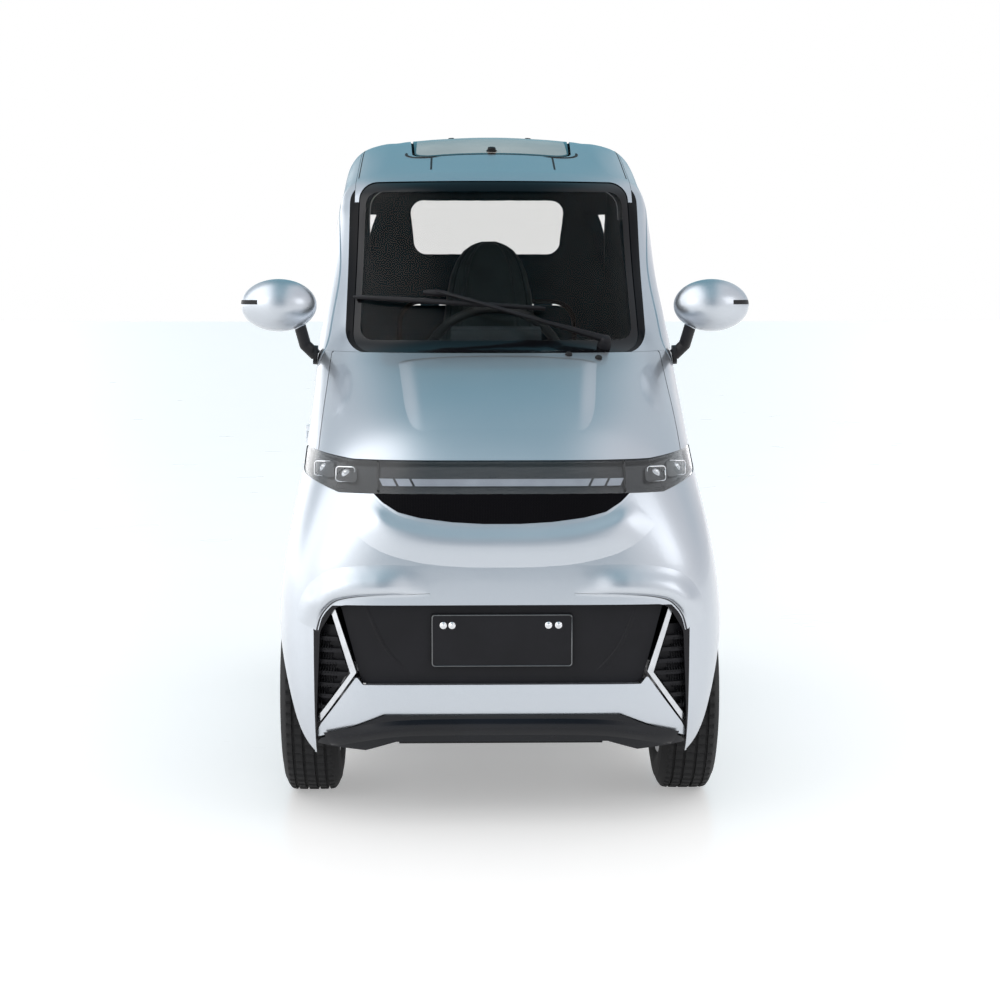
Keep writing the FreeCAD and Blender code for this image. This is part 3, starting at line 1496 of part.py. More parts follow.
def make_mirror():
    """Egg-shaped housing cut flat behind, on a bent arm from a round foot on the door."""
    out, height = size("mirror_out"), size("mirror_height")
    back = size("door_front") - 4
    egg = mirror_egg()
    egg.translate(Vector(out, back, height))
    egg = egg.cut(block(out - 200, out + 200, back + 22, back + 200, height - 200, height + 200))
    foot = Vector(size("cab_half_width") + 1.5, size("door_front") + 34, size("belt_height") - 30)
    knee = Vector(foot.x + 26, foot.y - 6, foot.z + 26)
    neck = Vector(out - size("mirror_half_width") + 48, back - 12, height - 26)
    base = Part.makeCylinder(24, 9, Vector(foot.x - 4, foot.y, foot.z), Vector(1, 0, 0.08))
    radius = size("mirror_arm_radius")
    arm = rod(foot, knee, radius).fuse([Part.makeSphere(radius, knee), rod(knee, neck, radius), base])
    near = block(foot.x - 60, foot.x + 60, foot.y - 80, foot.y + 80, foot.z - 80, foot.z + 80)
    return egg.fuse(arm.cut(hull_near(near, -gap, 10))).removeSplitter()


def roof_hinge_axis():
    back = size("hatch_front") + size("hatch_length") + shut / 2
    return back, roof_surface(0, back) - 7


def x_rod(x_low, x_high, y, z, radius):
    return Part.makeCylinder(radius, x_high - x_low, Vector(x_low, y, z), Vector(1, 0, 0))


def fixed_knuckles(y, z, middles):
    """Knuckles of what carries a lid that is hinged across the car."""
    half = 10 - gap
    radius = size("lid_hinge_radius")
    centres = [middle + side * 20 for middle in middles for side in (-1, 1)]
    return [x_rod(centre - half, centre + half, y, z, radius) for centre in centres]


def lid_knuckles(y, z, middles):
    return [x_rod(middle - 10, middle + 10, y, z, size("lid_hinge_radius")) for middle in middles]


def lid_hinge_room(y, z, middles):
    return [x_rod(middle - 34, middle + 34, y, z, size("lid_hinge_radius") + 4) for middle in middles]


HATCH_HINGES = (-130, 130)
BOOT_HINGES = (-180, 180)


def make_roof():
    half = size("roof_seam")
    rear = size("roof_rear")
    zone = top_prism([(-half, -FAR), (half, -FAR), (half, rear), (-half, rear)], 0, header_foot + gap, FAR)
    roof = skin(zone, 0, size("roof_wall")).cut([screen_prism, hatch_prism]).cut(door_cuts)
    y, z = roof_hinge_axis()
    fixed = fixed_knuckles(y, z, HATCH_HINGES)
    straps = [block(k.BoundBox.XMin, k.BoundBox.XMax, y, y + 26, z - 4, z + 4) for k in fixed]
    return roof.cut(lid_hinge_room(y, z, HATCH_HINGES)).fuse(fixed + straps).removeSplitter()


def make_roof_hatch():
    zone = top_prism(hatch_outline(), size("hatch_corner") - shut, size("roof_height") - 180, FAR)
    lid = skin(zone, 0, size("hatch_wall"))
    y, z = roof_hinge_axis()
    moving = lid_knuckles(y, z, HATCH_HINGES)
    straps = [block(k.BoundBox.XMin, k.BoundBox.XMax, y - 26, y, z - 4, z + 3) for k in moving]
    return lid.cut(lid_hinge_room(y, z, HATCH_HINGES)).fuse(moving + straps).removeSplitter()


def boot_hinge_axis():
    z = size("boot_top") + shut / 2
    at = hull(0).common(block(-1, 1, 700, FAR, z - 0.5, z + 0.5))
    return at.BoundBox.YMax - 4, z


def make_boot_lid():
    zone = front_prism(boot_outline(), size("boot_corner") - shut, 700, tail + 100)
    lid = skin(zone, 0, size("rear_wall"))
    y, z = boot_hinge_axis()
    moving = lid_knuckles(y, z, BOOT_HINGES)
    straps = [block(k.BoundBox.XMin, k.BoundBox.XMax, y - 24, y, z - 26, z) for k in moving]
    return lid.cut(lid_hinge_room(y, z, BOOT_HINGES)).fuse(moving + straps).removeSplitter()


def make_rear_shell():
    zone = block(-FAR / 2, FAR / 2, pillar_rear + gap, FAR, size("body_foot"), FAR)
    wall = skin(zone, 0, size("rear_wall"))
    half = size("roof_seam") + gap
    roof_cut = block(-half, half, -FAR, size("roof_rear") + gap, size("belt_height") + 200, FAR)
    inner = size("boot_half_width") + 14 - gap
    foot = size("tail_lamp_foot") - gap
    top = foot + size("tail_lamp_height") + 2 * gap
    lamp = front_prism([(inner, foot), (inner, top), (700, top), (700, foot)], 10, tail - 210 - gap, tail + 100)
    bumper = block(-FAR, FAR, rear_axle, FAR, 0, size("rear_bumper_top"))
    sill = block(-FAR, FAR, 0, rear_axle - size("rear_arch_radius") + 1, 0, size("door_bottom") - shut + gap)
    wall = wall.cut(below_rear_arch).cut([rear_arch, rear_window_prism, boot_prism, roof_cut, lamp, mirrored(lamp)])
    wall = wall.cut(bumper.fuse(sill)).cut(door_cuts)
    y, z = boot_hinge_axis()
    fixed = fixed_knuckles(y, z, BOOT_HINGES)
    straps = [block(k.BoundBox.XMin, k.BoundBox.XMax, y - 34, y, z, z + 26) for k in fixed]
    return wall.cut(lid_hinge_room(y, z, BOOT_HINGES)).fuse(fixed + straps).removeSplitter()


def make_wing_hinges(shell):
    body_parts = hinge_parts()[0]
    both = body_parts + [mirrored(part) for part in body_parts]
    rooms = hinge_room()
    return shell.cut(rooms + [mirrored(room) for room in rooms]).fuse(both).removeSplitter()


# Every sub-part

sub_parts = []


def add_freeform(label, shape):
    """A sub-part whose form has no primitive: a freeform panel or what is cut from one."""
    feature = doc.addObject("Part::Feature", label)
    feature.Shape = shape
    sub_parts.append(feature)
    return feature


def add_twins(label, shape):
    """The right one of a pair and its mirror image."""
    right = add_freeform(label + "_right", shape)
    sub_parts.append(mirrored_part(label + "_left", right))


add_freeform("front_shell", make_wing_hinges(make_front_shell()))
add_freeform("bonnet", make_bonnet())
add_freeform("nose_panel", make_nose_panel())
add_freeform("lamp_housing", make_lamp_housing())
add_freeform("lamp_lens", make_lamp_lens())
add_freeform("light_units", make_light_units())
add_freeform("grille", make_grille())
add_freeform("bumper_blades", make_blades())
add_freeform("chin_panel", make_chin())
add_freeform("splitter", make_splitter())
add_freeform("windscreen", make_screen())
add_freeform("wiper", make_wiper())
add_freeform("cab_frame", make_cab_sides())
add_freeform("roof_panel", make_roof())
add_freeform("roof_hatch", make_roof_hatch())
add_freeform("rear_shell", make_rear_shell())
add_freeform("rear_glass", make_rear_glass())
add_freeform("boot_lid", make_boot_lid())
add_freeform("tail_lamps", make_tail_lamps())
add_freeform("rear_bumper", make_rear_bumper())
add_freeform("sills", make_sills())
add_twins("door", make_door())
add_twins("door_glass", make_door_glass())
add_twins("mirror", make_mirror())
add_freeform("floor_pan", make_floor_pan())
add_twins("front_liner", make_front_liner())
add_twins("rear_liner", make_rear_liner())
add_freeform("front_suspension", make_front_suspension())
add_freeform("dashboard", make_dashboard())
add_freeform("seat_back", make_seat_back())
sub_parts.append(add_chassis_frame())
sub_parts.append(add_rack_rod())
knuckle = add_knuckle()
sub_parts += [knuckle, mirrored_part("knuckle_left", knuckle)]
sub_parts.append(add_rear_axle())
sub_parts.append(add_steering_wheel())
sub_parts.append(add_seat_cushion())
sub_parts.append(add_battery_pack())
for end, axle_y in (("front", front_axle_y), ("rear", rear_axle_y)):
    for side, sign in (("left", -1), ("right", 1)):
        turn = (Vector(0, 0, 1), 0.0 if sign > 0 else 180.0)
        name = "%s_%s" % (end, side)
        tyre_in = cell("track") / 2 - cell("tyre_width") / 2
        rim_in = cell("track") / 2 - cell("rim_width") / 2
        sub_parts.append(place(add_tyre("tyre_" + name), tyre_in * sign, axle_y, hub_z, turn))
        sub_parts.append(place(add_rim("rim_" + name), rim_in * sign, axle_y, hub_z, turn))

doc.recompute()
problems = []
for item in doc.Objects:
    if "Invalid" in item.State or "Error" in item.State:
        problems.append(item.Name + " " + str(item.State))
for item in sub_parts:
    if item.Shape.isNull() or not item.Shape.isValid():
        problems.append(item.Label + " has no valid shape")
if problems:
    raise SystemExit("; ".join(problems))
os.makedirs("parts", exist_ok=True)
for item in sub_parts:
    item.Shape.exportStep("parts/" + item.Label + ".step")
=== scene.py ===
import bpy
import bmesh
import json
import math
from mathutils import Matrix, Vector
from mathutils.bvhtree import BVHTree


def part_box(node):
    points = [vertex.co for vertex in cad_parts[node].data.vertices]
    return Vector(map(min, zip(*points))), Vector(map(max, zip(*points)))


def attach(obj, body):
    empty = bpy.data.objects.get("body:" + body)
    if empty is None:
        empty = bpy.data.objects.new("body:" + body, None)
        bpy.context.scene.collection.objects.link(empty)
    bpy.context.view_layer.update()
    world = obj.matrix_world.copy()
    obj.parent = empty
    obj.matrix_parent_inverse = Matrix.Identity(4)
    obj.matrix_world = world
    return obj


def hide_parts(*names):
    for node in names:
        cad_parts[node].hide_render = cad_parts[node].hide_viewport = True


# Microcar: finishes, tyres with tread, lamps, glass, interior and small parts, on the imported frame.
# Metres, +Z up, the nose points along -Y.

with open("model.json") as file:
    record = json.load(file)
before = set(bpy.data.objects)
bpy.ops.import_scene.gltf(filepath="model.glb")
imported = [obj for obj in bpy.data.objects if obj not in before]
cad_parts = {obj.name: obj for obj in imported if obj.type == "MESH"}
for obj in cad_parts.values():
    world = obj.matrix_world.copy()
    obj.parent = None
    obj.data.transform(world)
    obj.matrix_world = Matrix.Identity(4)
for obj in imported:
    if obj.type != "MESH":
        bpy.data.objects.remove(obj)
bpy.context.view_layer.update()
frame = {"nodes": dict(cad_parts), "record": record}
nodes = frame["nodes"]
scene = bpy.context.scene
collection = scene.collection
SIDES = (("left", -1), ("right", 1))
RIGHTWARDS = Vector((1, 0, 0))
UPWARDS = Vector((0, 0, 1))


# Camera, in front of the nose and level with the windscreen

CAMERA_PLACE = (-0.1063, -5.625, 1.2)
CAMERA_DOWN = 0.1038
CAMERA_RIGHT = 0.0225
CAMERA_FOCAL_PIXELS = 2082.4
PHOTO_WIDTH_PIXELS = 1000.0


def add_camera():
    data = bpy.data.cameras.new("camera")
    data.sensor_width = 36.0
    data.lens = data.sensor_width * CAMERA_FOCAL_PIXELS / PHOTO_WIDTH_PIXELS
    camera = bpy.data.objects.new("camera", data)
    camera.location = CAMERA_PLACE
    camera.rotation_euler = (math.pi / 2 - CAMERA_DOWN, 0, -CAMERA_RIGHT)
    collection.objects.link(camera)
    scene.camera = camera


# Shader helpers

class Value:
    """A node's output. Sums, products and comparisons of values make Math nodes."""

    def __init__(self, socket):
        self.socket = socket
        self.tree = socket.id_data

    def math(self, operation, *others):
        node = self.tree.nodes.new("ShaderNodeMath")
        node.operation = operation
        for socket, value in zip(node.inputs, (self, *others)):
            feed(socket, value)
        return Value(node.outputs[0])

    def __add__(self, other):
        return self.math("ADD", other)

    def __sub__(self, other):
        return self.math("SUBTRACT", other)

    def __mul__(self, other):
        return self.math("MULTIPLY", other)

    def __abs__(self):
        return self.math("ABSOLUTE")

    def __gt__(self, other):
        return self.math("GREATER_THAN", other)

    def __lt__(self, other):
        return self.math("LESS_THAN", other)

    def most(self, other):
        return self.math("MAXIMUM", other)


def feed(target, value):
    """An input gets a number, a colour or another node's output."""
    if isinstance(value, Value):
        value.tree.links.new(value.socket, target)
        return
    if isinstance(value, tuple) and len(value) == 3:
        value = (*value, 1.0)
    target.default_value = value


def dressed(node, output=0, **inputs):
    """A node with its inputs fed, as one of its outputs."""
    for name, value in inputs.items():
        feed(node.inputs[name.replace("_", " ")], value)
    return Value(node.outputs[output])


def make(tree, kind, output, **inputs):
    return dressed(tree.nodes.new("ShaderNode" + kind), output, **inputs)


def object_place(tree):
    return make(tree, "TexCoord", "Object")


def noise(vector, scale, detail=3.0):
    return make(vector.tree, "TexNoise", "Fac", Vector=vector, Scale=scale, Detail=detail)


def ramp(value, *stops):
    """A colour ramp from two (position, colour) pairs."""
    node = value.tree.nodes.new("ShaderNodeValToRGB")
    for element, (position, colour) in zip(node.color_ramp.elements, stops):
        element.position = position
        element.color = (*colour, 1.0)
    return dressed(node, "Color", Fac=value)


def parts_of(vector):
    node = vector.tree.nodes.new("ShaderNodeSeparateXYZ")
    feed(node.inputs[0], vector)
    return [Value(socket) for socket in node.outputs]


def bump(height, strength, distance):
    return make(height.tree, "Bump", "Normal", Strength=strength, Distance=distance, Height=height)


def ranged(value, low, high):
    """A share from 0 to 1, spread between two numbers."""
    return make(value.tree, "MapRange", "Result", Value=value, To_Min=low, To_Max=high)


def eased(value, low, high):
    """0 at low, 1 at high, smooth between."""
    result = make(value.tree, "MapRange", "Result", Value=value, From_Min=low, From_Max=high)
    result.socket.node.interpolation_type = "SMOOTHSTEP"
    return result


def ray(tree, kind):
    """1 for one kind of ray, else 0."""
    return make(tree, "LightPath", "Is %s Ray" % kind)


def mixed_shader(share, first, second):
    """first where share is 0, second where it is 1."""
    node = share.tree.nodes.new("ShaderNodeMixShader")
    for socket, value in zip(node.inputs, (share, first, second)):
        feed(socket, value)
    return Value(node.outputs[0])


def mixed_colour(share, first, second):
    node = share.tree.nodes.new("ShaderNodeMix")
    node.data_type = "RGBA"
    feed(node.inputs["Factor"], share)
    feed(node.inputs[6], first)
    feed(node.inputs[7], second)
    return Value(node.outputs[2])


def box_distance(across, up, half_across, half_up, centre_up, radius):
    """Distance to a rounded rectangle's outline, negative inside, for the two coordinates."""
    qx = abs(across) - (half_across - radius)
    qz = abs(up - centre_up) - (half_up - radius)
    ox, oz = qx.most(0.0), qz.most(0.0)
    outside = (ox * ox + oz * oz).math("SQRT")
    return outside + qx.most(qz).math("MINIMUM", 0.0) - radius


def material(name, look, other=None, mask=None):
    """A material with one look, and another look where mask(x, y, z) gives 1."""
    mat = bpy.data.materials.new(name)
    mat.use_nodes = True
    tree = mat.node_tree
    surface = look(tree.nodes["Principled BSDF"])
    if other:
        second = other(tree.nodes.new("ShaderNodeBsdfPrincipled"))
        surface = mixed_shader(mask(*parts_of(object_place(tree))), surface, second)
    feed(tree.nodes["Material Output"].inputs["Surface"], surface)
    return mat


def tinted(colour, share):
    return tuple(min(1.0, c * share) for c in colour)


# Looks: each one dresses a Principled node and returns the surface

def paint(shader):
    """Pale metallic paint with fine flakes under clear coat."""
    vector = object_place(shader.id_data)
    flakes = make(vector.tree, "TexVoronoi", "Distance", Vector=vector, Scale=2600.0)
    return dressed(shader, Metallic=0.85, Coat_Weight=0.7, Coat_Roughness=0.03, Coat_IOR=1.45,
                   Base_Color=ramp(flakes, (0.0, (0.60, 0.635, 0.68)), (1.0, (0.47, 0.51, 0.56))),
                   Roughness=ranged(noise(vector, 9.0), 0.30, 0.36), Normal=bump(flakes, 0.05, 0.0002))


def plastic(colour, roughness, grain=900.0, strength=0.25, specular=0.22):
    """Moulded plastic or rubber with a fine grain."""
    def look(shader):
        vector = object_place(shader.id_data)
        wide = noise(vector, 14.0)
        return dressed(shader, Specular_IOR_Level=specular,
                       Base_Color=ramp(wide, (0.3, tinted(colour, 0.82)), (0.7, tinted(colour, 1.15))),
                       Roughness=ranged(wide, roughness - 0.06, roughness + 0.06),
                       Normal=bump(noise(vector, grain, 2.0), strength, 0.0004))
    return look


def gloss(colour, coat=0.3, specular=0.25):
    """Smooth hard surface under a clear coat."""
    def look(shader):
        vector = object_place(shader.id_data)
        return dressed(shader, Coat_Weight=coat, Coat_Roughness=0.02, Specular_IOR_Level=specular,
                       Base_Color=ramp(noise(vector, 6.0), (0.3, colour), (0.8, tinted(colour, 1.4))),
                       Roughness=ranged(noise(vector, 30.0), 0.08, 0.14))
    return look


def net(shader):
    """Black gloss with a fine net moulded in."""
    gloss((0.0015, 0.0012, 0.002), 0.03, 0.04)(shader)
    x, y, z = parts_of(object_place(shader.id_data))
    threads = ((x + z) * 900.0).math("SINE") * ((x - z) * 900.0).math("SINE")
    return dressed(shader, Normal=bump(threads, 0.5, 0.0008))


def cloth(colour):
    """Woven cover: over and under threads, and a slow change of shade."""
    def look(shader):
        vector = object_place(shader.id_data)
        x, y, z = parts_of(vector)
        weave = (x * 3400.0).math("SINE") * ((y + z) * 3400.0).math("SINE")
        wide = noise(vector, 11.0)
        shade = ramp(weave * 0.08 + wide, (0.3, tinted(colour, 0.7)), (0.75, tinted(colour, 1.3)))
        return dressed(shader, Base_Color=shade, Sheen_Weight=0.35, Sheen_Roughness=0.5,
                       Specular_IOR_Level=0.25, Roughness=ranged(wide, 0.78, 0.92),
                       Normal=bump(weave, 0.35, 0.0004))
    return look


def metal(colour, roughness):
    def look(shader):
        value = noise(object_place(shader.id_data), 60.0, 5.0)
        return dressed(shader, Metallic=1.0, Roughness=ranged(value, roughness - 0.05, roughness + 0.08),
                       Base_Color=ramp(value, (0.3, tinted(colour, 0.85)), (0.7, colour)))
    return look


def glass(tint, ior=1.2, coat=0.6):
    """Clear pane that lets shadow and diffuse rays straight through."""
    def look(shader):
        tree = shader.id_data
        pane = dressed(shader, Base_Color=tint, IOR=ior, Transmission_Weight=1.0, Coat_Weight=coat,
                       Coat_Roughness=0.0, Roughness=ranged(noise(object_place(tree), 3.0), 0.0, 0.012))
        through = ray(tree, "Shadow").most(ray(tree, "Diffuse"))
        return mixed_shader(through, pane, make(tree, "BsdfTransparent", 0, Color=tint))
    return look


def light_strip(shader):
    dressed(shader, Emission_Color=(0.9, 0.95, 1.0), Emission_Strength=0.08)
    return plastic((0.40, 0.42, 0.47), 0.25)(shader)


# Places on the CAD pieces where one look gives way to another

SCREEN_LOW, SCREEN_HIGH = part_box("windscreen")
SCREEN_MIDDLE = (SCREEN_LOW.z + SCREEN_HIGH.z) / 2
SCREEN_HALF_UP = (SCREEN_HIGH.z - SCREEN_LOW.z) / 2
SCREEN_BORDER = 0.028
SCREEN_LEAN = 0.018
LINE_HALF = 0.0011
HATCH_BORDER = 0.014
EGG_HALF, EGG_RISE, EGG_Y = 0.093, 0.065, -0.404
STRIP_HALF = 0.28


def screen_across(x, z):
    """Sideways place on the windscreen, measured out further the higher it is."""
    return abs(x) + (z - SCREEN_LOW.z) * SCREEN_LEAN


def screen_pane(shader):
    """Clear windscreen with a fine pale line along the top, inside the border."""
    pane = glass((0.82, 0.83, 0.83), 1.08, 0.08)(shader)
    tree = shader.id_data
    pale = plastic((0.05, 0.053, 0.055), 0.3)(tree.nodes.new("ShaderNodeBsdfPrincipled"))
    x, y, z = parts_of(object_place(tree))
    inner = box_distance(screen_across(x, z), z, SCREEN_HIGH.x - 0.030, SCREEN_HALF_UP - 0.022,
                         SCREEN_MIDDLE - 0.002, 0.045)
    return mixed_shader(inner.math("COMPARE", 0.0, LINE_HALF) * (z > SCREEN_HIGH.z - 0.10), pane, pale)


def screen_border(x, y, z):
    outer = box_distance(screen_across(x, z), z, SCREEN_HIGH.x + 0.010, SCREEN_HALF_UP, SCREEN_MIDDLE, 0.06)
    return outer > -SCREEN_BORDER


def pillar_border(x, y, z):
    """The windscreen's black border carried onto the cab frame."""
    distance = box_distance(x, z, 0.3735, SCREEN_HALF_UP + 0.001, SCREEN_MIDDLE, 0.055)
    return (distance < 0.0) * (y < -0.05)


def opening_sides(x, y, z):
    """Black band at the sides of the front shell's lower opening: partly the opening's black frame, partly
    painted shade where the paint rounds in to the opening.
    """
    return (box_distance(x, z, 0.4145, 0.24, 0.2585, 0.05) < 0.0) * (y < -0.90)


def hatch_edge(x, y, z):
    low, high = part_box("roof_hatch")
    return box_distance(x, y, high.x, (high.y - low.y) / 2, (high.y + low.y) / 2, 0.06) > -HATCH_BORDER


def mirror_black(x, y, z):
    """The mirror's arm, off its painted egg, and the slot of the repeater lamp."""
    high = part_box("mirror_right")[1]
    middle = Vector((high.x - EGG_HALF, EGG_Y, high.z - EGG_RISE))
    squares = []
    for value, centre, reach in zip((abs(x), y, z), middle, (EGG_HALF, EGG_RISE, EGG_RISE)):
        share = (value - centre) * (1 / reach)
        squares.append(share * share)
    off_egg = squares[0] + squares[1] + squares[2] > 1.05
    slot = (abs(x) > middle.x + 0.048) * z.math("COMPARE", middle.z + 0.008, 0.0055)
    return off_egg.most(slot)


BLACK_TRIM = (0.0085, 0.0085, 0.011)
BORDER_BLACK = (0.003, 0.003, 0.004)
MATERIALS = {
    "paint": material("paint_silver_blue", paint),
    "black_gloss": material("black_gloss", gloss((0.006, 0.006, 0.007))),
    "black_matte": material("black_matte", plastic(BLACK_TRIM, 0.5)),
    "clear": material("clear_glass", glass((0.92, 0.91, 0.90))),
    "lamp_clear": material("lamp_lens_glass", glass((0.80, 0.82, 0.84), 1.12)),
    "light_white": material("light_units", light_strip, gloss((0.02, 0.021, 0.022), 0.8, 0.5),
                            lambda x, y, z: abs(x) > STRIP_HALF),
    "lamp_red": material("lamp_red", gloss((0.35, 0.008, 0.01), 1.0, 0.5)),
    "bright": material("bright_trim", metal((0.62, 0.64, 0.67), 0.22)),
    "tyre": material("tyre_rubber", plastic((0.022, 0.022, 0.023), 0.72, 500.0, 0.35)),
    "alloy": material("wheel_alloy", metal((0.42, 0.43, 0.45), 0.34)),
    "frame_black": material("frame_black", plastic((0.02, 0.02, 0.022), 0.45)),
    "steel": material("machined_steel", metal((0.35, 0.35, 0.36), 0.35)),
    "trim": material("cabin_trim", plastic((0.011, 0.019, 0.023), 0.6)),
    "carpet": material("floor_mat", plastic((0.03, 0.032, 0.035), 0.8, 300.0, 0.6)),
    "upholstery": material("seat_cover", cloth((0.042, 0.056, 0.056))),
}
OWN_MATERIALS = {
    "windscreen": material("windscreen_glass", screen_pane, gloss(BORDER_BLACK, 0.15, 0.15), screen_border),
    "lamp_housing": material("lamp_tray", gloss((0.022, 0.023, 0.025), 0.4, 0.4)),
    "nose_panel": material("nose_net", net),
    "roof_hatch": material("hatch_glass", gloss((0.36, 0.35, 0.33)), gloss((0.008, 0.008, 0.009)),
                           hatch_edge),
    # The front shell turns black beside the lower opening: partly black frame, partly painted shade on the
    # paint's rounded turn-in.
    "front_shell": material("front_paint", paint, plastic(BLACK_TRIM, 0.4), opening_sides),
    "cab_frame": material("cab_frame_paint", paint, gloss(BORDER_BLACK, 0.0, 0.06), pillar_border),
    "splitter": material("splitter_black", gloss((0.006, 0.007, 0.010), 0.15, 0.22)),
}
for side, sign in SIDES:
    OWN_MATERIALS["mirror_" + side] = material("mirror_paint", paint, plastic((0.016, 0.016, 0.018), 0.4),
                                               mirror_black)
    OWN_MATERIALS["door_glass_" + side] = material("tinted_glass_" + side, glass((0.14, 0.22, 0.24)))
LINING = material("cabin_lining", plastic((0.010, 0.036, 0.050), 0.6, 600.0, 0.3, specular=0.03))
CHROME = material("reflector_chrome", metal((0.75, 0.76, 0.78), 0.10))
SATIN = material("satin_line", metal((0.16, 0.165, 0.17), 0.35))
# Dark strip along the foot of each brow: painted shade, standing in for the shadow under the brow.
PAINTED_SHADE = material("brow_painted_shade", gloss((0.045, 0.047, 0.055), 0.2, 0.3))
PIPING = material("seat_piping", plastic((0.012, 0.018, 0.020), 0.6))
GRIP = material("wheel_grip", plastic((0.016, 0.018, 0.019), 0.55, 1200.0, 0.4))
RUBBER = material("seal_rubber", plastic((0.012, 0.012, 0.013), 0.55))
LINED = ("door_left", "door_right", "cab_frame", "rear_shell", "roof_panel", "boot_lid")


def line_inside(obj):
    """Faces that look into the cabin get the lining."""
    obj.data.materials.append(LINING)
    for face in obj.data.polygons:
        core = Vector((0, face.center.y * 0.5, min(face.center.z, 0.9)))
        outward = (face.center - core).normalized()
        if face.normal.dot(outward) < -0.25:
            face.material_index = 1


def dress_nodes():
    """Each frame node gets the finish of its slot, or its own."""
    slots = {part["node"]: part["material_slot"] for part in frame["record"]["subparts"]}
    for name, obj in nodes.items():
        obj.data.materials.clear()
        obj.data.materials.append(OWN_MATERIALS.get(name, MATERIALS[slots[name]]))
        if name in LINED:
            line_inside(obj)


# Mesh helpers. A shape is a pair of points and faces.

def merged(shapes):
    """Several shapes as one."""
    points, faces = [], []
    for some_points, some_faces in shapes:
        start = len(points)
        points += some_points
        faces += [tuple(i + start for i in face) for face in some_faces]
    return points, faces


def add_piece(name, shape, slot, mat=None, body="body_shell", flat=False):
    """A piece from a shape or a list of shapes, in the slot's material unless it has its own."""
    points, faces = merged(shape) if isinstance(shape, list) else shape
    mesh = bpy.data.meshes.new(name)
    mesh.from_pydata([tuple(p) for p in points], [], faces)
    mesh.materials.append(mat or MATERIALS[slot])
    for face in mesh.polygons:
        face.use_smooth = not flat
    obj = bpy.data.objects.new(name, mesh)
    collection.objects.link(obj)
    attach(obj, body)
    if flat:
        sharp_by_angle(obj)
    return obj


def sharp_by_angle(obj, degrees=35):
    """Edges that turn by more than an angle shade sharply."""
    bm = bmesh.new()
    bm.from_mesh(obj.data)
    bmesh.ops.recalc_face_normals(bm, faces=bm.faces)
    limit = math.radians(degrees)
    for edge in bm.edges:
        if len(edge.link_faces) == 2 and edge.calc_face_angle(0) > limit:
            edge.smooth = False
    bm.to_mesh(obj.data)
    bm.free()


def spaced(count):
    """Even shares from 0 to 1."""
    return [k / count for k in range(count + 1)]


def sided(pairs, sign):
    """Pairs with their first number on one side of the middle."""
    return [(sign * first, second) for first, second in pairs]


def step_up(value, low=0.0, high=1.0):
    """0 below low, 1 above high, smooth between."""
    t = min(1.0, max(0.0, (value - low) / (high - low)))
    return t * t * (3 - 2 * t)


def ring_faces(rings, count, closed_round=True, caps=False):
    """Quads between rings of equal count, with optional end caps."""
    faces = []
    for r in range(rings - 1):
        for k in range(count if closed_round else count - 1):
            a, b = r * count + k, r * count + (k + 1) % count
            faces.append((a, b, b + count, a + count))
    if caps:
        faces.append(tuple(range(count))[::-1])
        faces.append(tuple(range((rings - 1) * count, rings * count)))
    return faces


def circle(centre, side, up, radius, count):
    """Points round a centre. The last one is the first again."""
    turns = [2 * math.pi * t for t in spaced(count)]
    return [centre + (side * math.cos(turn) + up * math.sin(turn)) * radius for turn in turns]


def tube(path, radii, count=16):
    """A round tube along a path of Vectors."""
    points = []
    if isinstance(radii, float):
        radii = [radii] * len(path)
    side = (path[1] - path[0]).normalized().orthogonal().normalized()
    for k, (here, radius) in enumerate(zip(path, radii)):
        tangent = (path[min(k + 1, len(path) - 1)] - path[max(k - 1, 0)]).normalized()
        side = (side - tangent * side.dot(tangent)).normalized()
        points += circle(here, side, tangent.cross(side), radius, count)[:-1]
    return points, ring_faces(len(path), count, caps=True)


def loop_tube(ring, radius, count):
    """A tube along a ring of points and back to its start."""
    return tube(ring + ring[:1], radius, count)


def lathe(profile, count, place, axis):
    """A profile of (along, radius) turned round an axis through place."""
    along = axis.normalized()
    side = along.orthogonal().normalized()
    points = []
    for distance, radius in profile:
        points += circle(place + along * distance, side, along.cross(side), radius, count)[:-1]
    return points, ring_faces(len(profile), count, caps=True)


def helix(low, high, radius, wire, turns):
    axis = (high - low).normalized()
    side = axis.orthogonal().normalized()
    other = axis.cross(side)
    run = []
    for t in spaced(int(turns * 24)):
        turn = 2 * math.pi * turns * t
        run.append(low.lerp(high, t) + (side * math.cos(turn) + other * math.sin(turn)) * radius)
    return tube(run, wire, 10)


def smooth_path(points, steps):
    """A smooth run of Vectors through points."""
    points = [Vector(p) for p in points]
    last = len(points) - 1
    path = []
    for k in range(last):
        a, b = points[max(k - 1, 0)], points[k]
        c, d = points[k + 1], points[min(k + 2, last)]
        for t in spaced(steps)[:-1]:
            square = (a * 2 - b * 5 + c * 4 - d) * (t * t / 2)
            cube = (b * 3 - a - c * 3 + d) * (t ** 3 / 2)
            path.append(b + (c - a) * (t / 2) + square + cube)
    path.append(points[-1])
    return path


def rounded_rectangle(half_x, half_y, radius, count):
    """Points round a rounded rectangle, anticlockwise."""
    points = []
    for corner, (sx, sy) in enumerate(((1, 1), (-1, 1), (-1, -1), (1, -1))):
        for t in spaced(count - 1):
            turn = math.pi / 2 * (corner + t)
            across = sx * (half_x - radius) + radius * math.cos(turn)
            points.append((across, sy * (half_y - radius) + radius * math.sin(turn)))
    return points


def finer(ring, step):
    """A closed ring of (x, y) with its long sides cut up."""
    points = []
    for (a, b), (c, d) in zip(ring, ring[1:] + ring[:1]):
        steps = max(1, round(math.hypot(c - a, d - b) / step))
        points += [(a + (c - a) * t, b + (d - b) * t) for t in spaced(steps)[:-1]]
    return points


# Places on surfaces: each is a pair, where a line meets the surface and the normal there

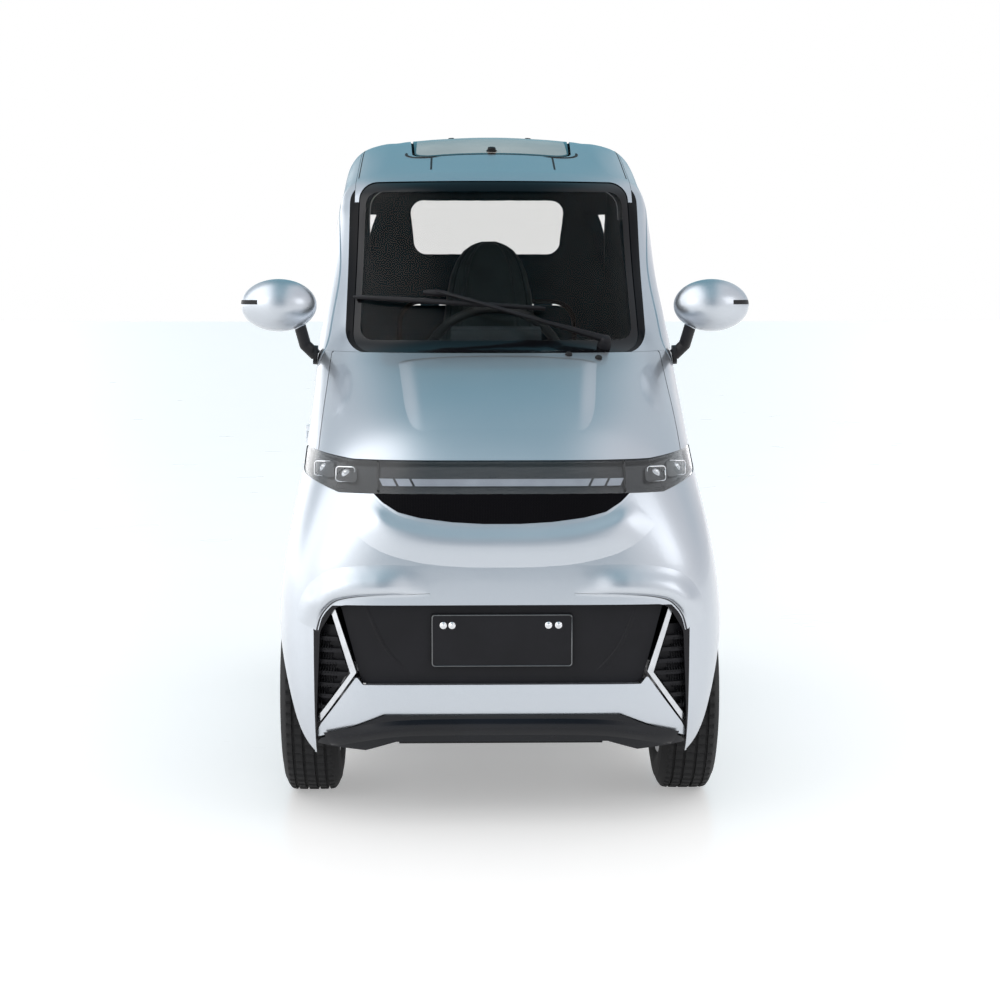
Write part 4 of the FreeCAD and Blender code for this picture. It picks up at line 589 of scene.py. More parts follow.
def surface_of(node):
    """Ray-casting tree of a frame node."""
    mesh = nodes[node].data
    return BVHTree.FromPolygons([v.co for v in mesh.vertices], [tuple(p.vertices) for p in mesh.polygons])


def cast(tree, start, aim):
    return tree.ray_cast(Vector(start), Vector(aim))[:2]


def on_front(tree, x, z):
    return cast(tree, (x, -3, z), (0, 1, 0))


def on_rear(tree, x, z):
    return cast(tree, (x, 3, z), (0, -1, 0))


def on_top(tree, x, y):
    return cast(tree, (x, y, 3), (0, 0, -1))


def on_side(tree, sign, y, z):
    return cast(tree, (sign * 3, y, z), (-sign, 0, 0))


def from_cabin(tree, sign, y, z):
    return cast(tree, (0, y, z), (sign, 0, 0))


def lifted(place, height):
    return place[0] + place[1] * height


SETTLE_REACH = 0.06


def settle(tree, point, normal):
    """The place on a surface below or above a point, along a normal."""
    hit, found = tree.ray_cast(point + normal * SETTLE_REACH, -normal, 2 * SETTLE_REACH)[:2]
    return (point, normal) if hit is None else (hit, found)


def front_path(tree, marks, steps):
    """Places along a smooth run through marks (x, z), seen from ahead."""
    found = [on_front(tree, p.x, p.y) for p in smooth_path([(x, z, 0) for x, z in marks], steps)]
    return [place for place in found if place[0] is not None]


def crosswise(path, k):
    """The direction across a path at one of its places."""
    ahead = path[min(k + 1, len(path) - 1)][0] - path[max(k - 1, 0)][0]
    return ahead.normalized().cross(path[k][1]).normalized()


def faded(path, start, end):
    """Shares that rise from 0 at both ends of a path to 1 between."""
    last = len(path) - 1
    return [min(1.0, start * k / last, end * (last - k) / last) for k in range(last + 1)]


def strip_on(tree, path, profile, shares=None):
    """A strip along a path of places. profile: (across, height) pairs."""
    points = []
    for k, (here, normal) in enumerate(path):
        across = crosswise(path, k)
        share = shares[k] if shares else 1.0
        for side, height in profile:
            place = settle(tree, here + across * side, normal)
            points.append(lifted(place, height * share if height > 0 else height))
    return points, ring_faces(len(path), len(profile), False)


def patch_on(find, middle, half_u, half_v, radius, profile):
    """A rounded plate on the surface that find(u, v) meets. profile: (share of size, height) pairs."""
    outline = finer(rounded_rectangle(half_u, half_v, radius, 8), 0.02)
    points = []
    for share, height in profile:
        points += [lifted(find(middle[0] + u * share, middle[1] + v * share), height) for u, v in outline]
    return points, ring_faces(len(profile), len(outline), caps=True)


# Body: brows, bonnet crown, the fold under the lamps, plate details, ribs, creases, roof lines, hatch

BROW = [(0.158, 0.526), (0.206, 0.5242), (0.2453, 0.5238), (0.2918, 0.5222), (0.3327, 0.5186),
        (0.3648, 0.5108), (0.3851, 0.4951), (0.4004, 0.4728), (0.4091, 0.4414)]
BROW_PROFILE = [(0.010, -0.0004), (0.006, 0.0002), (0.0015, 0.0006), (0.0, 0.0034), (-0.0012, 0.0085),
                (-0.004, 0.0125), (-0.010, 0.0148), (-0.018, 0.0152), (-0.026, 0.0142), (-0.033, 0.0118),
                (-0.040, 0.0086), (-0.047, 0.0052), (-0.054, 0.0024), (-0.061, 0.0006), (-0.070, -0.0008)]
BROW_SHADE_PROFILE = ((0.0, 0.0003), (0.4, 0.0010), (0.8, 0.0008), (1.0, 0.0002))


def add_brows():
    """The raised brow over each end of the lower opening, with a dark strip along its foot that is painted
    shade for the shadow under the brow.
    """
    tree = surface_of("front_shell")
    for side, sign in SIDES:
        path = front_path(tree, sided(BROW, sign), 8)
        shares = [step_up(share) for share in faded(path, 3.0, 4.0)]
        add_piece("brow_" + side, strip_on(tree, path, sided(BROW_PROFILE, sign), shares), "paint")
        # Painted shade: a thin dark strip along the brow's foot, widest near the opening's corner, where
        # the brow's underside falls dark.
        points = []
        for k, (here, normal) in enumerate(path):
            across = crosswise(path, k) * sign
            width = 0.0006 + 0.0042 * math.sin(math.pi * min(1.0, k / (len(path) - 1) * 0.62)) ** 2
            for share, height in BROW_SHADE_PROFILE:
                points.append(lifted(settle(tree, here + across * (share * width), normal), height))
        faces = ring_faces(len(path), len(BROW_SHADE_PROFILE), False)
        add_piece("brow_shade_" + side, (points, faces), "black_matte", PAINTED_SHADE)


CROWN_START_Y, CROWN_LENGTH, CROWN_RISE = -1.040, 0.408, 0.0062
CROWN_ROWS, CROWN_COLUMNS = 64, 81
BONNET_UP = Vector((0, -0.42, 0.907))


def smoothed(grid, rounds):
    """Points of a grid, each inner one drawn to the mean of its neighbours."""
    for turn in range(rounds):
        fresh = [row[:] for row in grid]
        for r in range(1, len(grid) - 1):
            for c in range(1, len(grid[0]) - 1):
                around = grid[r - 1][c] + grid[r + 1][c] + grid[r][c - 1] + grid[r][c + 1]
                fresh[r][c] = grid[r][c] * 0.4 + around * 0.15
        grid = fresh
    return grid


def add_bonnet_crown():
    """The bonnet's raised middle, with a soft edge each side that turns outwards at the windscreen."""
    tree = surface_of("bonnet")
    grid, heights = [], []
    for along in spaced(CROWN_ROWS - 1):
        y = CROWN_START_Y + CROWN_LENGTH * along
        edge = 0.2327 + 0.082 * (y + 0.66) + 13.0 * max(0.0, y + 0.66) ** 2
        fade = CROWN_RISE * step_up(y, -1.035, -0.86) * step_up(-y, 0.634, 0.664)
        row = []
        for across in spaced(CROWN_COLUMNS - 1):
            x = (edge + 0.022) * (2 * across - 1)
            hit = on_top(tree, x, y)[0]
            if hit is None:
                hit = row[-1] if row else Vector((x, y, 0.9))
            row.append(hit)
            heights.append(fade * step_up(edge - abs(x), -0.014, 0.034) - 0.0007)
        grid.append(row)
    places = [here for row in smoothed(grid, 10) for here in row]
    points = [here + BONNET_UP * height for here, height in zip(places, heights)]
    add_piece("bonnet_crown", (points, ring_faces(CROWN_ROWS, CROWN_COLUMNS, False)), "paint")


LIP = [(0.376, 0.764), (0.330, 0.755), (0.290, 0.741), (0.262, 0.717), (0.226, 0.694), (0.160, 0.677),
       (0.080, 0.670), (0.0, 0.669)]
LIP_PROFILE = [(0.003, -0.0004), (0.0, 0.0001), (-0.005, 0.0008), (-0.011, 0.0026), (-0.017, 0.0050),
               (-0.023, 0.0072), (-0.029, 0.0084), (-0.036, 0.0086), (-0.046, 0.0076), (-0.058, 0.0056),
               (-0.070, 0.0032), (-0.082, 0.0010), (-0.092, -0.0008)]
LIP_BACK_Y = -0.80


def add_nose_lip():
    """The soft fold that runs under the lamps and the nose panel."""
    tree = surface_of("front_shell")
    marks = LIP + [(-x, z) for x, z in reversed(LIP[:-1])]
    path = [place for place in front_path(tree, marks, 8) if place[0].y < LIP_BACK_Y]
    shares = [step_up(share) for share in faded(path, 6.25, 6.25)]
    add_piece("nose_lip", strip_on(tree, path, LIP_PROFILE, shares), "paint")


PLATE_Z = 0.419
PLATE_BOLT_Z = 0.453


def add_plate_details():
    tree = surface_of("grille")
    profile = [(-0.002, 0.0078), (0.0012, 0.0078), (0.002, 0.006), (0.002, 0.0046), (0.005, 0.0044),
               (0.0058, 0.003)]
    places = [on_front(tree, x, PLATE_BOLT_Z)[0] for x in (-0.129, -0.110, 0.102, 0.124)]
    bolts = [lathe(profile, 20, place, Vector((0, -1, 0))) for place in places]
    add_piece("plate_bolts", bolts, "bright", CHROME, flat=True)
    face_y = on_front(tree, 0, PLATE_Z)[0].y
    ring = [Vector((x, face_y, PLATE_Z + z)) for x, z in rounded_rectangle(0.1535, 0.0565, 0.006, 5)]
    add_piece("plate_bezel", loop_tube(ring, 0.0016, 8), "bright", SATIN)


CREASE = ((0.296, 0.492), (0.256, 0.403), (0.206, 0.345))


def add_grille_creases():
    """A fold in the grille each side of the plate."""
    tree = surface_of("grille")
    profile = [(-0.009, -0.0003), (-0.004, 0.0008), (0.0, 0.0034), (0.0015, 0.0008), (0.003, -0.0003)]
    strips = []
    for sign in (-1, 1):
        path = front_path(tree, sided(CREASE, sign), 10)
        strips.append(strip_on(tree, path, sided(profile, sign), faded(path, 4.0, 4.0)))
    add_piece("grille_creases", strips, "black_matte")


VENT_BEND_Z = 0.345
VENT_BACK_Y = -0.95
VENT_OUTER = 0.404


def vent_inner(z):
    """How far out the vent's inner edge is at a height."""
    return 0.350 + max((VENT_BEND_Z - z) * 0.55, (z - VENT_BEND_Z) * 0.28)


def vent_rib(tree, sign, marks, out, radius):
    """A list with the rib over those marks (x, z) that lie in the vent, or an empty one."""
    found = [on_front(tree, sign * x, z)[0] for x, z in marks]
    run = [hit + Vector((0, -out, 0)) for hit in found if hit is not None and hit.y < VENT_BACK_Y]
    return [tube(run, radius, 6)] if len(run) > 2 else []


def add_vent_ribs():
    """Fine level ribs and slanted fins in the side vents."""
    tree = surface_of("grille")
    for side, sign in SIDES:
        ribs = []
        for k in range(14):
            z = 0.258 + 0.0132 * k
            start = vent_inner(z) + 0.012
            level = [(start + (VENT_OUTER - start) * t, z) for t in spaced(8)]
            ribs += vent_rib(tree, sign, level, 0.001, 0.0016)
        for k in range(9):
            rises = [0.180 * t for t in spaced(24)]
            fin = [(0.358 + 0.0062 * k + 0.010 * math.sin(rise * 26), 0.256 + rise) for rise in rises]
            fin = [(x, z) for x, z in fin if x > vent_inner(z) + 0.008]
            ribs += vent_rib(tree, sign, fin, 0.002, 0.0015)
        add_piece("vent_ribs_" + side, ribs, "black_matte")


def add_splitter_crease():
    """The long soft edge between the splitter's two faces."""
    tree = surface_of("splitter")
    half = [(0.388, 0.190), (0.300, 0.212), (0.200, 0.224)]
    path = front_path(tree, [(-x, z) for x, z in half] + [(0.0, 0.226)] + half[::-1], 12)
    profile = [(-0.020, -0.0003), (-0.014, 0.0022), (-0.007, 0.0052), (-0.002, 0.0066), (0.002, 0.0066),
               (0.008, 0.0048), (0.016, 0.0020), (0.022, -0.0003)]
    strip = strip_on(tree, path, profile, faded(path, 6.0, 6.0))
    add_piece("splitter_crease", strip, "black_gloss", OWN_MATERIALS["splitter"])


THIN = [(-0.0030, -0.0006), (-0.0024, 0.0006), (0.0, 0.0009), (0.0024, 0.0006), (0.0030, -0.0006)]
ROOF_GROOVE_X = 0.163
ROOF_SEAM_X = 0.3545


def add_roof_lines():
    """Drain grooves ahead of the hatch, and the seams along the roof."""
    tree = surface_of("roof_panel")
    grooves, seams = [], []
    for sign in (-1, 1):
        run = [on_top(tree, sign * ROOF_GROOVE_X, 0.072 - 0.15 * t) for t in spaced(12)]
        grooves.append(strip_on(tree, run, THIN))
        run = [on_top(tree, sign * ROOF_SEAM_X, -0.05 + 0.76 * t) for t in spaced(40)]
        run = [place for place in run if place[0] is not None and place[1].z > 0.3]
        seams.append(strip_on(tree, run, [(u * 0.6, h * 0.7) for u, h in THIN]))
    add_piece("roof_grooves", grooves, "black_matte", RUBBER)
    add_piece("roof_seams", seams, "black_matte", RUBBER)


KNOBS = ((0.0, 0.116, 0.0115, 0.011), (-0.11, 0.438, 0.009, 0.006), (0.11, 0.438, 0.009, 0.006))
HATCH_GAP = 0.0125
ROOF_Z = 1.4


def add_hatch_details():
    """The seal round the hatch, and its knobs (x, y, radius, height)."""
    roof, lid = surface_of("roof_panel"), surface_of("roof_hatch")
    low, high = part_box("roof_hatch")
    middle = (low + high) / 2
    outline = rounded_rectangle(high.x + HATCH_GAP, (high.y - low.y) / 2 + HATCH_GAP, 0.066, 12)
    run = [on_top(roof, x, middle.y + y) for x, y in outline]
    run = [place for place in run if place[0] is not None and place[0].z > ROOF_Z]
    seal = [(-0.0042, -0.002), (-0.0038, 0.0012), (0.0, 0.0022), (0.0038, 0.0012), (0.0042, -0.002)]
    add_piece("hatch_seal", strip_on(roof, run + run[:1], seal), "black_matte", RUBBER)
    knobs = []
    for x, y, radius, tall in KNOBS:
        profile = [(-0.002, radius * 1.25), (tall * 0.2, radius * 1.25), (tall * 0.25, radius),
                   (tall * 0.8, radius * 0.96), (tall * 0.97, radius * 0.8), (tall, radius * 0.5)]
        knobs.append(lathe(profile, 28, *on_top(lid, x, y)))
    add_piece("hatch_knobs", knobs, "black_matte", RUBBER, "hatch", flat=True)


# Wiper and washer nozzles

WIPER_PIVOT, WIPER_JOINT = Vector((0.261, 1.046)), Vector((-0.146, 1.168))
BLADE_LEFT, BLADE_RIGHT = Vector((-0.349, 1.160)), Vector((0.119, 1.132))


def add_wiper():
    tree = surface_of("windscreen")

    def above(flat, height):
        return lifted(on_front(tree, flat.x, flat.y), height)

    arm = []
    for t in spaced(14):
        arm.append(above(WIPER_PIVOT.lerp(WIPER_JOINT, t), 0.020 + 0.006 * math.sin(math.pi * t)))
    shapes = [tube(arm, [0.0095 - 0.0045 * min(1.0, k / 5) for k in range(15)], 12)]
    blade = [BLADE_LEFT.lerp(BLADE_RIGHT, t) for t in spaced(24)]
    radii = [0.003 + 0.004 * max(0.0, math.sin(math.pi * t)) ** 0.5 for t in spaced(24)]
    shapes.append(tube([above(at, 0.0105) for at in blade], radii, 10))
    shapes.append(tube([above(at, 0.0042) for at in blade], 0.0022, 6))
    clip = [above(WIPER_JOINT + Vector((0.030 - 0.015 * k, 0.001 * k - 0.004)), 0.014) for k in range(5)]
    shapes.append(tube(clip, [0.006, 0.008, 0.0085, 0.008, 0.005], 10))
    boss = [(0.0, 0.017), (0.012, 0.016), (0.022, 0.014), (0.027, 0.011), (0.029, 0.006)]
    shapes.append(lathe(boss, 28, *on_front(tree, WIPER_PIVOT.x, WIPER_PIVOT.y)))
    obj = add_piece("wiper_fine", shapes, "black_matte", flat=True)
    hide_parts("wiper")


def add_washers():
    bonnet = surface_of("bonnet")
    profile = [(-0.002, 0.009), (0.004, 0.0085), (0.007, 0.006), (0.008, 0.003)]
    places = [on_top(bonnet, x, -0.622) for x in (0.171, 0.243)]
    nozzles = [lathe(profile, 20, *place) for place in places]
    add_piece("washer_nozzles", nozzles, "black_matte", RUBBER, flat=True)


# Lamps: dividers, reflector frames and lenses behind the clear cover

LENS_PROFILE = [(-0.006, 0.0125), (0.0, 0.012), (0.003, 0.0095), (0.0045, 0.005)]


def add_lamp_insides():
    tree = surface_of("lamp_housing")
    dividers, chrome = [], []
    for sign in (-1, 1):
        run = [on_front(tree, sign * 0.272, 0.744 + 0.064 * t)[0] for t in spaced(8)]
        dividers.append(tube([hit + Vector((0, -0.006, 0)) for hit in run], 0.0026, 8))
        front = Vector((sign * 0.35, -1, 0.05)).normalized()
        side = UPWARDS.cross(front).normalized()
        up = front.cross(side)
        for x, z in ((0.3425, 0.777), (0.3945, 0.7838)):
            centre = on_front(tree, sign * x, z)[0] + front * 0.0105
            ring = [centre + side * u + up * v for u, v in rounded_rectangle(0.0225, 0.0165, 0.007, 6)]
            chrome += [loop_tube(ring, 0.0016, 8), lathe(LENS_PROFILE, 24, centre - front * 0.004, front)]
    add_piece("lamp_dividers", dividers, "black_gloss")
    add_piece("lamp_reflectors", chrome, "bright", CHROME)


# Mirrors' glass

MIRROR_CENTRE = (0.540, -0.382, 1.145)
MIRROR_HALF_OUT, MIRROR_HALF_UP = 0.084, 0.057
MIRROR_COUNT = 48


def add_mirror_glass():
    out, face_y, height = MIRROR_CENTRE
    for side, sign in SIDES:
        points = []
        for depth, share in ((-0.001, 1.0), (0.0012, 1.0), (0.002, 0.985)):
            centre = Vector((sign * out, face_y + depth, height))
            half_out, half_up = RIGHTWARDS * MIRROR_HALF_OUT, UPWARDS * MIRROR_HALF_UP
            points += circle(centre, half_out, half_up, share, MIRROR_COUNT)[:-1]
        shape = (points, ring_faces(3, MIRROR_COUNT, caps=True))
        add_piece("mirror_glass_" + side, shape, "bright", CHROME, "door_" + side, flat=True)


# Seat: crowned pads with sewn channels


def pad_outline(half_front, half_back, front, back, radius):
    """Rounded outline of a pad that may narrow to the back, and its middle."""
    middle, half_long = (front + back) / 2, (back - front) / 2
    outline = []
    for x, y in rounded_rectangle(1.0, half_long, radius, 18):
        half = half_front + (half_back - half_front) * (y + half_long) / (2 * half_long)
        if abs(x) > 1 - radius:
            x = math.copysign(half - (1 - abs(x)), x)
        else:
            x = x * (half - radius) / (1 - radius)
        outline.append((x, middle + y))
    return finer(outline, 0.008), middle


def groove(distance, width, depth):
    """How far a seam draws the cover in, at a distance from its line."""
    return depth * math.exp(-(distance / width) ** 2)


def cushion_top(x, y):
    """Height of the cushion's cover over its sides: side bolsters, dished middle, sewn channels."""
    bolster = 0.013 / (1 + math.exp(-(abs(x) - 0.142) / 0.010))
    front = -0.010 * max(0.0, 1 - (y - 0.02) / 0.10) ** 2
    height = 0.010 + bolster + front - groove(abs(x) - 0.128, 0.0045, 0.008)
    if abs(x) < 0.128:
        for line in (0.105, 0.190, 0.275, 0.360):
            height -= groove(y - line, 0.0045, 0.005)
        height += 0.004 * math.cos((y - 0.147) / 0.085 * 2 * math.pi) * (1 - abs(x) / 0.128)
    return height


def add_seat_cushion():
    low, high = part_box("seat_cushion")
    outline, middle = pad_outline(0.218, 0.198, low.y + 0.001, high.y - 0.001, 0.052)
    tall = high.z - low.z - 0.012
    sides = [(0.04, 0.0), (0.5, 0.0), (0.93, 0.0), (0.972, 0.006), (0.990, 0.018), (0.984, 0.040),
             (0.990, 0.062), (0.996, 0.078), (0.984, 0.090), (0.962, tall)]
    rings = [(share, height, 0.0) for share, height in sides]
    for k in range(45):
        share = 0.94 - 0.9 * k / 44
        ease = min(1.0, (0.962 - share) / 0.09)
        rings.append((share, tall, ease * (2 - ease)))
    points = []
    for share, height, crown in rings:
        for x, y in outline:
            px, py = x * share, middle + (y - middle) * share
            points.append(Vector((px, py, low.z + height + crown * cushion_top(px, py))))
    obj = add_piece("cushion_pad", (points, ring_faces(len(rings), len(outline), caps=True)), "upholstery")
    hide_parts("seat_cushion")
    seam = [Vector((x * 0.987, middle + (y - middle) * 0.987, low.z + 0.0905)) for x, y in outline[::2]]
    add_piece("cushion_piping", loop_tube(seam, 0.0028, 8), "upholstery", PIPING)


BACK_WIDTHS = [(0.0, 0.198), (0.10, 0.205), (0.30, 0.198), (0.42, 0.184), (0.52, 0.166), (0.60, 0.146),
               (0.68, 0.134), (0.78, 0.125), (0.86, 0.113), (0.92, 0.096), (0.96, 0.074), (0.985, 0.048),
               (0.997, 0.020)]
BACK_DEPTHS = [(0.0, 0.0465), (0.3, 0.047), (0.52, 0.045), (0.68, 0.0405), (0.85, 0.037), (0.92, 0.034),
               (0.96, 0.029), (0.985, 0.020), (0.997, 0.009)]
BACK_LOW, BACK_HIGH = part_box("seat_back")
BACK_TALL = BACK_HIGH.z - BACK_LOW.z
BACK_LEAN = math.tan(math.radians(14))
BACK_COUNT, BACK_STEPS = 168, 110


def between(table, at):
    """Value of a table of (at, value) pairs, with straight lines between them."""
    for (a, first), (b, second) in zip(table, table[1:]):
        if at <= b:
            return first + (second - first) * (at - a) / (b - a)
    return table[-1][1]


def back_place(share, turn):
    """A point round the backrest's outline at a share of its height, and the outline's half width."""
    half, depth = between(BACK_WIDTHS, share), between(BACK_DEPTHS, share)
    c, d = math.cos(turn), math.sin(turn)
    x = half * math.copysign(abs(c) ** 0.62, c)
    y = depth * math.copysign(abs(d) ** 0.72, d)
    y += BACK_LOW.y + 0.0475 + BACK_TALL * share * BACK_LEAN
    return Vector((x, y, BACK_LOW.z + 0.003 + (BACK_TALL - 0.004) * share)), half


def back_inset(x, share, half):
    """How far the backrest's front is drawn in: side bolsters, the sewn channels and the neck's seam."""
    seam = half * 0.60
    inset = groove(abs(x) - seam, 0.0045, 0.008)
    inset -= 0.006 / (1 + math.exp(-(abs(x) - seam) / 0.012)) * (1 - share)
    if abs(x) < seam:
        for line in (0.16, 0.29, 0.42, 0.55):
            inset += groove((share - line) * BACK_TALL, 0.0045, 0.005)
    return inset + groove((share - 0.70) * BACK_TALL, 0.005, 0.007)


def add_seat_back():
    points = []
    for step in spaced(BACK_STEPS):
        share = 0.997 * step ** 0.93
        for turn in [2 * math.pi * t for t in spaced(BACK_COUNT)[:-1]]:
            place, half = back_place(share, turn)
            if math.sin(turn) < 0:
                flat = min(1.0, -math.sin(turn) * 2.2)
                place.y += flat * back_inset(place.x, share, half)
            points.append(place)
    faces = ring_faces(BACK_STEPS + 1, BACK_COUNT, caps=True)
    obj = add_piece("backrest_pad", (points, faces), "upholstery")
    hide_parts("seat_back")
    piping = []
    for turn in (math.radians(-142), math.radians(-38)):
        piping.append(tube([back_place(0.02 + 0.95 * t, turn)[0] for t in spaced(59)], 0.0026, 8))
    add_piece("backrest_piping", piping, "upholstery", PIPING)


# Steering wheel, dashboard, pedals

WHEEL_CENTRE = Vector((0, -0.150, 0.985))
WHEEL_RAKE = math.radians(32)
WHEEL_AXIS = Vector((0, math.cos(WHEEL_RAKE), math.sin(WHEEL_RAKE)))
WHEEL_DOWN = Vector((0, math.sin(WHEEL_RAKE), -math.cos(WHEEL_RAKE)))
WHEEL_RADIUS = 0.175
SPOKE_END = WHEEL_RADIUS - 0.004
SPOKES = ((-0.03, 0.0, -SPOKE_END, 0.012), (0.03, 0.0, SPOKE_END, 0.012), (0.0, 0.03, 0.0, SPOKE_END))


def on_wheel(across, down, out=0.0):
    return WHEEL_CENTRE + RIGHTWARDS * across + WHEEL_DOWN * down + WHEEL_AXIS * out


def add_steering_wheel():
    """Padded rim with grips, three spokes (from and to, across and down) and a boss with a round pad."""
    turns = [2 * math.pi * t for t in spaced(96)]
    radii = [0.0122 + 0.0016 * math.exp(-((math.sin(turn) + 0.15) / 0.35) ** 2) for turn in turns]
    shapes = [tube(circle(WHEEL_CENTRE, RIGHTWARDS, WHEEL_DOWN, WHEEL_RADIUS, 96), radii, 20)]
    for x0, down0, x1, down1 in SPOKES:
        start, end = Vector((x0, down0, -0.012)), Vector((x1, down1, -0.002))
        path = [on_wheel(*start.lerp(end, t)) for t in spaced(8)]
        shapes.append(tube(path, [0.0165 - 0.0065 * t for t in spaced(8)], 16))
    boss = [(-0.034, 0.030), (-0.026, 0.040), (-0.008, 0.050), (0.006, 0.050), (0.013, 0.044),
            (0.017, 0.032), (0.0185, 0.012)]
    shapes.append(lathe(boss, 48, WHEEL_CENTRE, WHEEL_AXIS))
    shapes.append(lathe([(-0.066, 0.0185), (-0.03, 0.0185), (-0.028, 0.012)], 32, WHEEL_CENTRE, WHEEL_AXIS))
    obj = add_piece("wheel_padded", shapes, "trim", GRIP, "steering_wheel")
    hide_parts("steering_wheel")
    ring = circle(on_wheel(0, 0, 0.0152), RIGHTWARDS, WHEEL_DOWN, 0.040, 48)
    add_piece("wheel_boss_line", tube(ring, 0.0011, 8), "bright", SATIN, "steering_wheel")


DASH_VENT_RADIUS, DASH_SLAT_STEP = 0.034, 0.011
DASH_KNOB = [(-0.002, 0.012), (0.004, 0.012), (0.006, 0.010), (0.014, 0.0092), (0.0155, 0.006)]


def add_dashboard_details():
    """Instrument face, air vents, switches and the column's two stalks."""
    tree = surface_of("dashboard")
    hit, normal = on_rear(tree, 0, 1.045)
    up = normal.cross(RIGHTWARDS).normalized()
    up = -up if up.z < 0 else up
    points = []
    for share, out in ((1.0, 0.0), (1.0, 0.002), (0.97, 0.0028)):
        face = rounded_rectangle(0.088 * share, 0.030 * share, 0.010 * share, 8)
        points += [hit + RIGHTWARDS * x + up * z + normal * out for x, z in face]
    add_piece("instrument_face", (points, ring_faces(3, 32, caps=True)), "black_gloss", flat=True)
    rings, slats = [], []
    for x in (-0.300, -0.205, 0.205, 0.300):
        hit, normal = on_rear(tree, x, 0.945)
        up = normal.cross(RIGHTWARDS).normalized()
        centre = hit + normal * 0.001
        rings.append(tube(circle(centre, RIGHTWARDS, up, DASH_VENT_RADIUS, 40), 0.0036, 10))
        for height in [DASH_SLAT_STEP * k for k in range(-2, 3)]:
            reach = math.sqrt(0.032 ** 2 - height ** 2)
            row = [centre + up * height + RIGHTWARDS * (reach * u) for u in (-1, -0.5, 0, 0.5, 1)]
            slats.append(tube(row, 0.0022, 6))
    add_piece("vent_rings", rings, "bright", SATIN)
    add_piece("vent_slats", slats, "black_matte")
    places = [on_rear(tree, x, 0.880) for x in (-0.150, -0.118, 0.118, 0.150)]
    knobs = [lathe(DASH_KNOB, 28, *place) for place in places if place[0] is not None]
    add_piece("dash_knobs", knobs, "black_gloss", flat=True)
    stalks = []
    for sign in (-1, 1):
        run = smooth_path([on_wheel(sign * 0.012, 0.0, -0.085), on_wheel(sign * 0.050, -0.010, -0.078),
                           on_wheel(sign * 0.115, -0.022, -0.062)], 8)
        stalks.append(tube(run, [0.0055 + 0.0025 * t ** 2 for t in spaced(len(run) - 1)], 12))
    add_piece("column_stalks", stalks, "black_matte")


PEDAL_FACING = Vector((0, 0.86, 0.5))


def add_pedals():
    """Brake and accelerator, hung from the bulkhead."""
    tree = surface_of("floor_pan")
    up = PEDAL_FACING.cross(RIGHTWARDS).normalized()
    shapes = []
    for x, half in ((-0.035, 0.036), (0.085, 0.024)):
        hit = on_front(tree, x, 0.62)[0]
        wall_y = -0.545 if hit is None else hit.y
        bends = ((0.0, 0.64), (0.075, 0.60), (0.105, 0.48), (0.080, 0.415))
        run = smooth_path([Vector((x, wall_y + out, z)) for out, z in bends], 8)
        shapes.append(tube(run, 0.0075, 12))
        foot = run[-1]
        pad = []
        for share, out in ((0.92, -0.004), (1.0, 0.0), (1.0, 0.007), (0.94, 0.010)):
            outline = rounded_rectangle(half * share, 0.030 * share, 0.009, 6)
            pad += [foot + RIGHTWARDS * u + up * v + PEDAL_FACING * out for u, v in outline]
        shapes.append((pad, ring_faces(4, 24, caps=True)))
        for k in range(-2, 3):
            middle = foot + up * (0.010 * k) + PEDAL_FACING * 0.0105
            row = [middle + RIGHTWARDS * (u * half * 0.8) for u in (-1, -0.4, 0.4, 1)]
            shapes.append(tube(row, 0.0014, 6))
    add_piece("pedals", shapes, "black_matte", RUBBER, flat=True)


# Seal, handles, rear details, springs

LID_SEAL_GAP, LID_SEAL_RADIUS = 0.0035, 0.0075


def lid_ring(low, high, out, radius):
    """Points (x, z) at a distance outside the boot lid's outline."""
    half_up = (high.z - low.z) / 2
    corners = []
    for x, z in rounded_rectangle(1.0, half_up + out, radius, 10):
        half = high.x + out - 0.030 * (z + half_up) / (2 * half_up)
        corners.append((math.copysign(half - (1 - abs(x)), x), (low.z + high.z) / 2 + z))
    return finer(corners, 0.02)


def add_seals():
    """Rubber tube behind the boot lid's shut line, on the cabin's side."""
    tree = surface_of("rear_shell")
    low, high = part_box("boot_lid")
    run = []
    for x, z in lid_ring(low, high, LID_SEAL_GAP, 0.062):
        outwards = Vector((x, 0, z - (low.z + high.z) / 2)).normalized() * 0.014
        hit = tree.ray_cast(Vector((x, 0.60, z)) + outwards, Vector((0, 1, 0)), 3.0)[0]
        if hit is not None:
            run.append(Vector((x, hit.y - 0.007, z)))
    add_piece("boot_seal", loop_tube(run, LID_SEAL_RADIUS, 10), "black_matte", RUBBER)


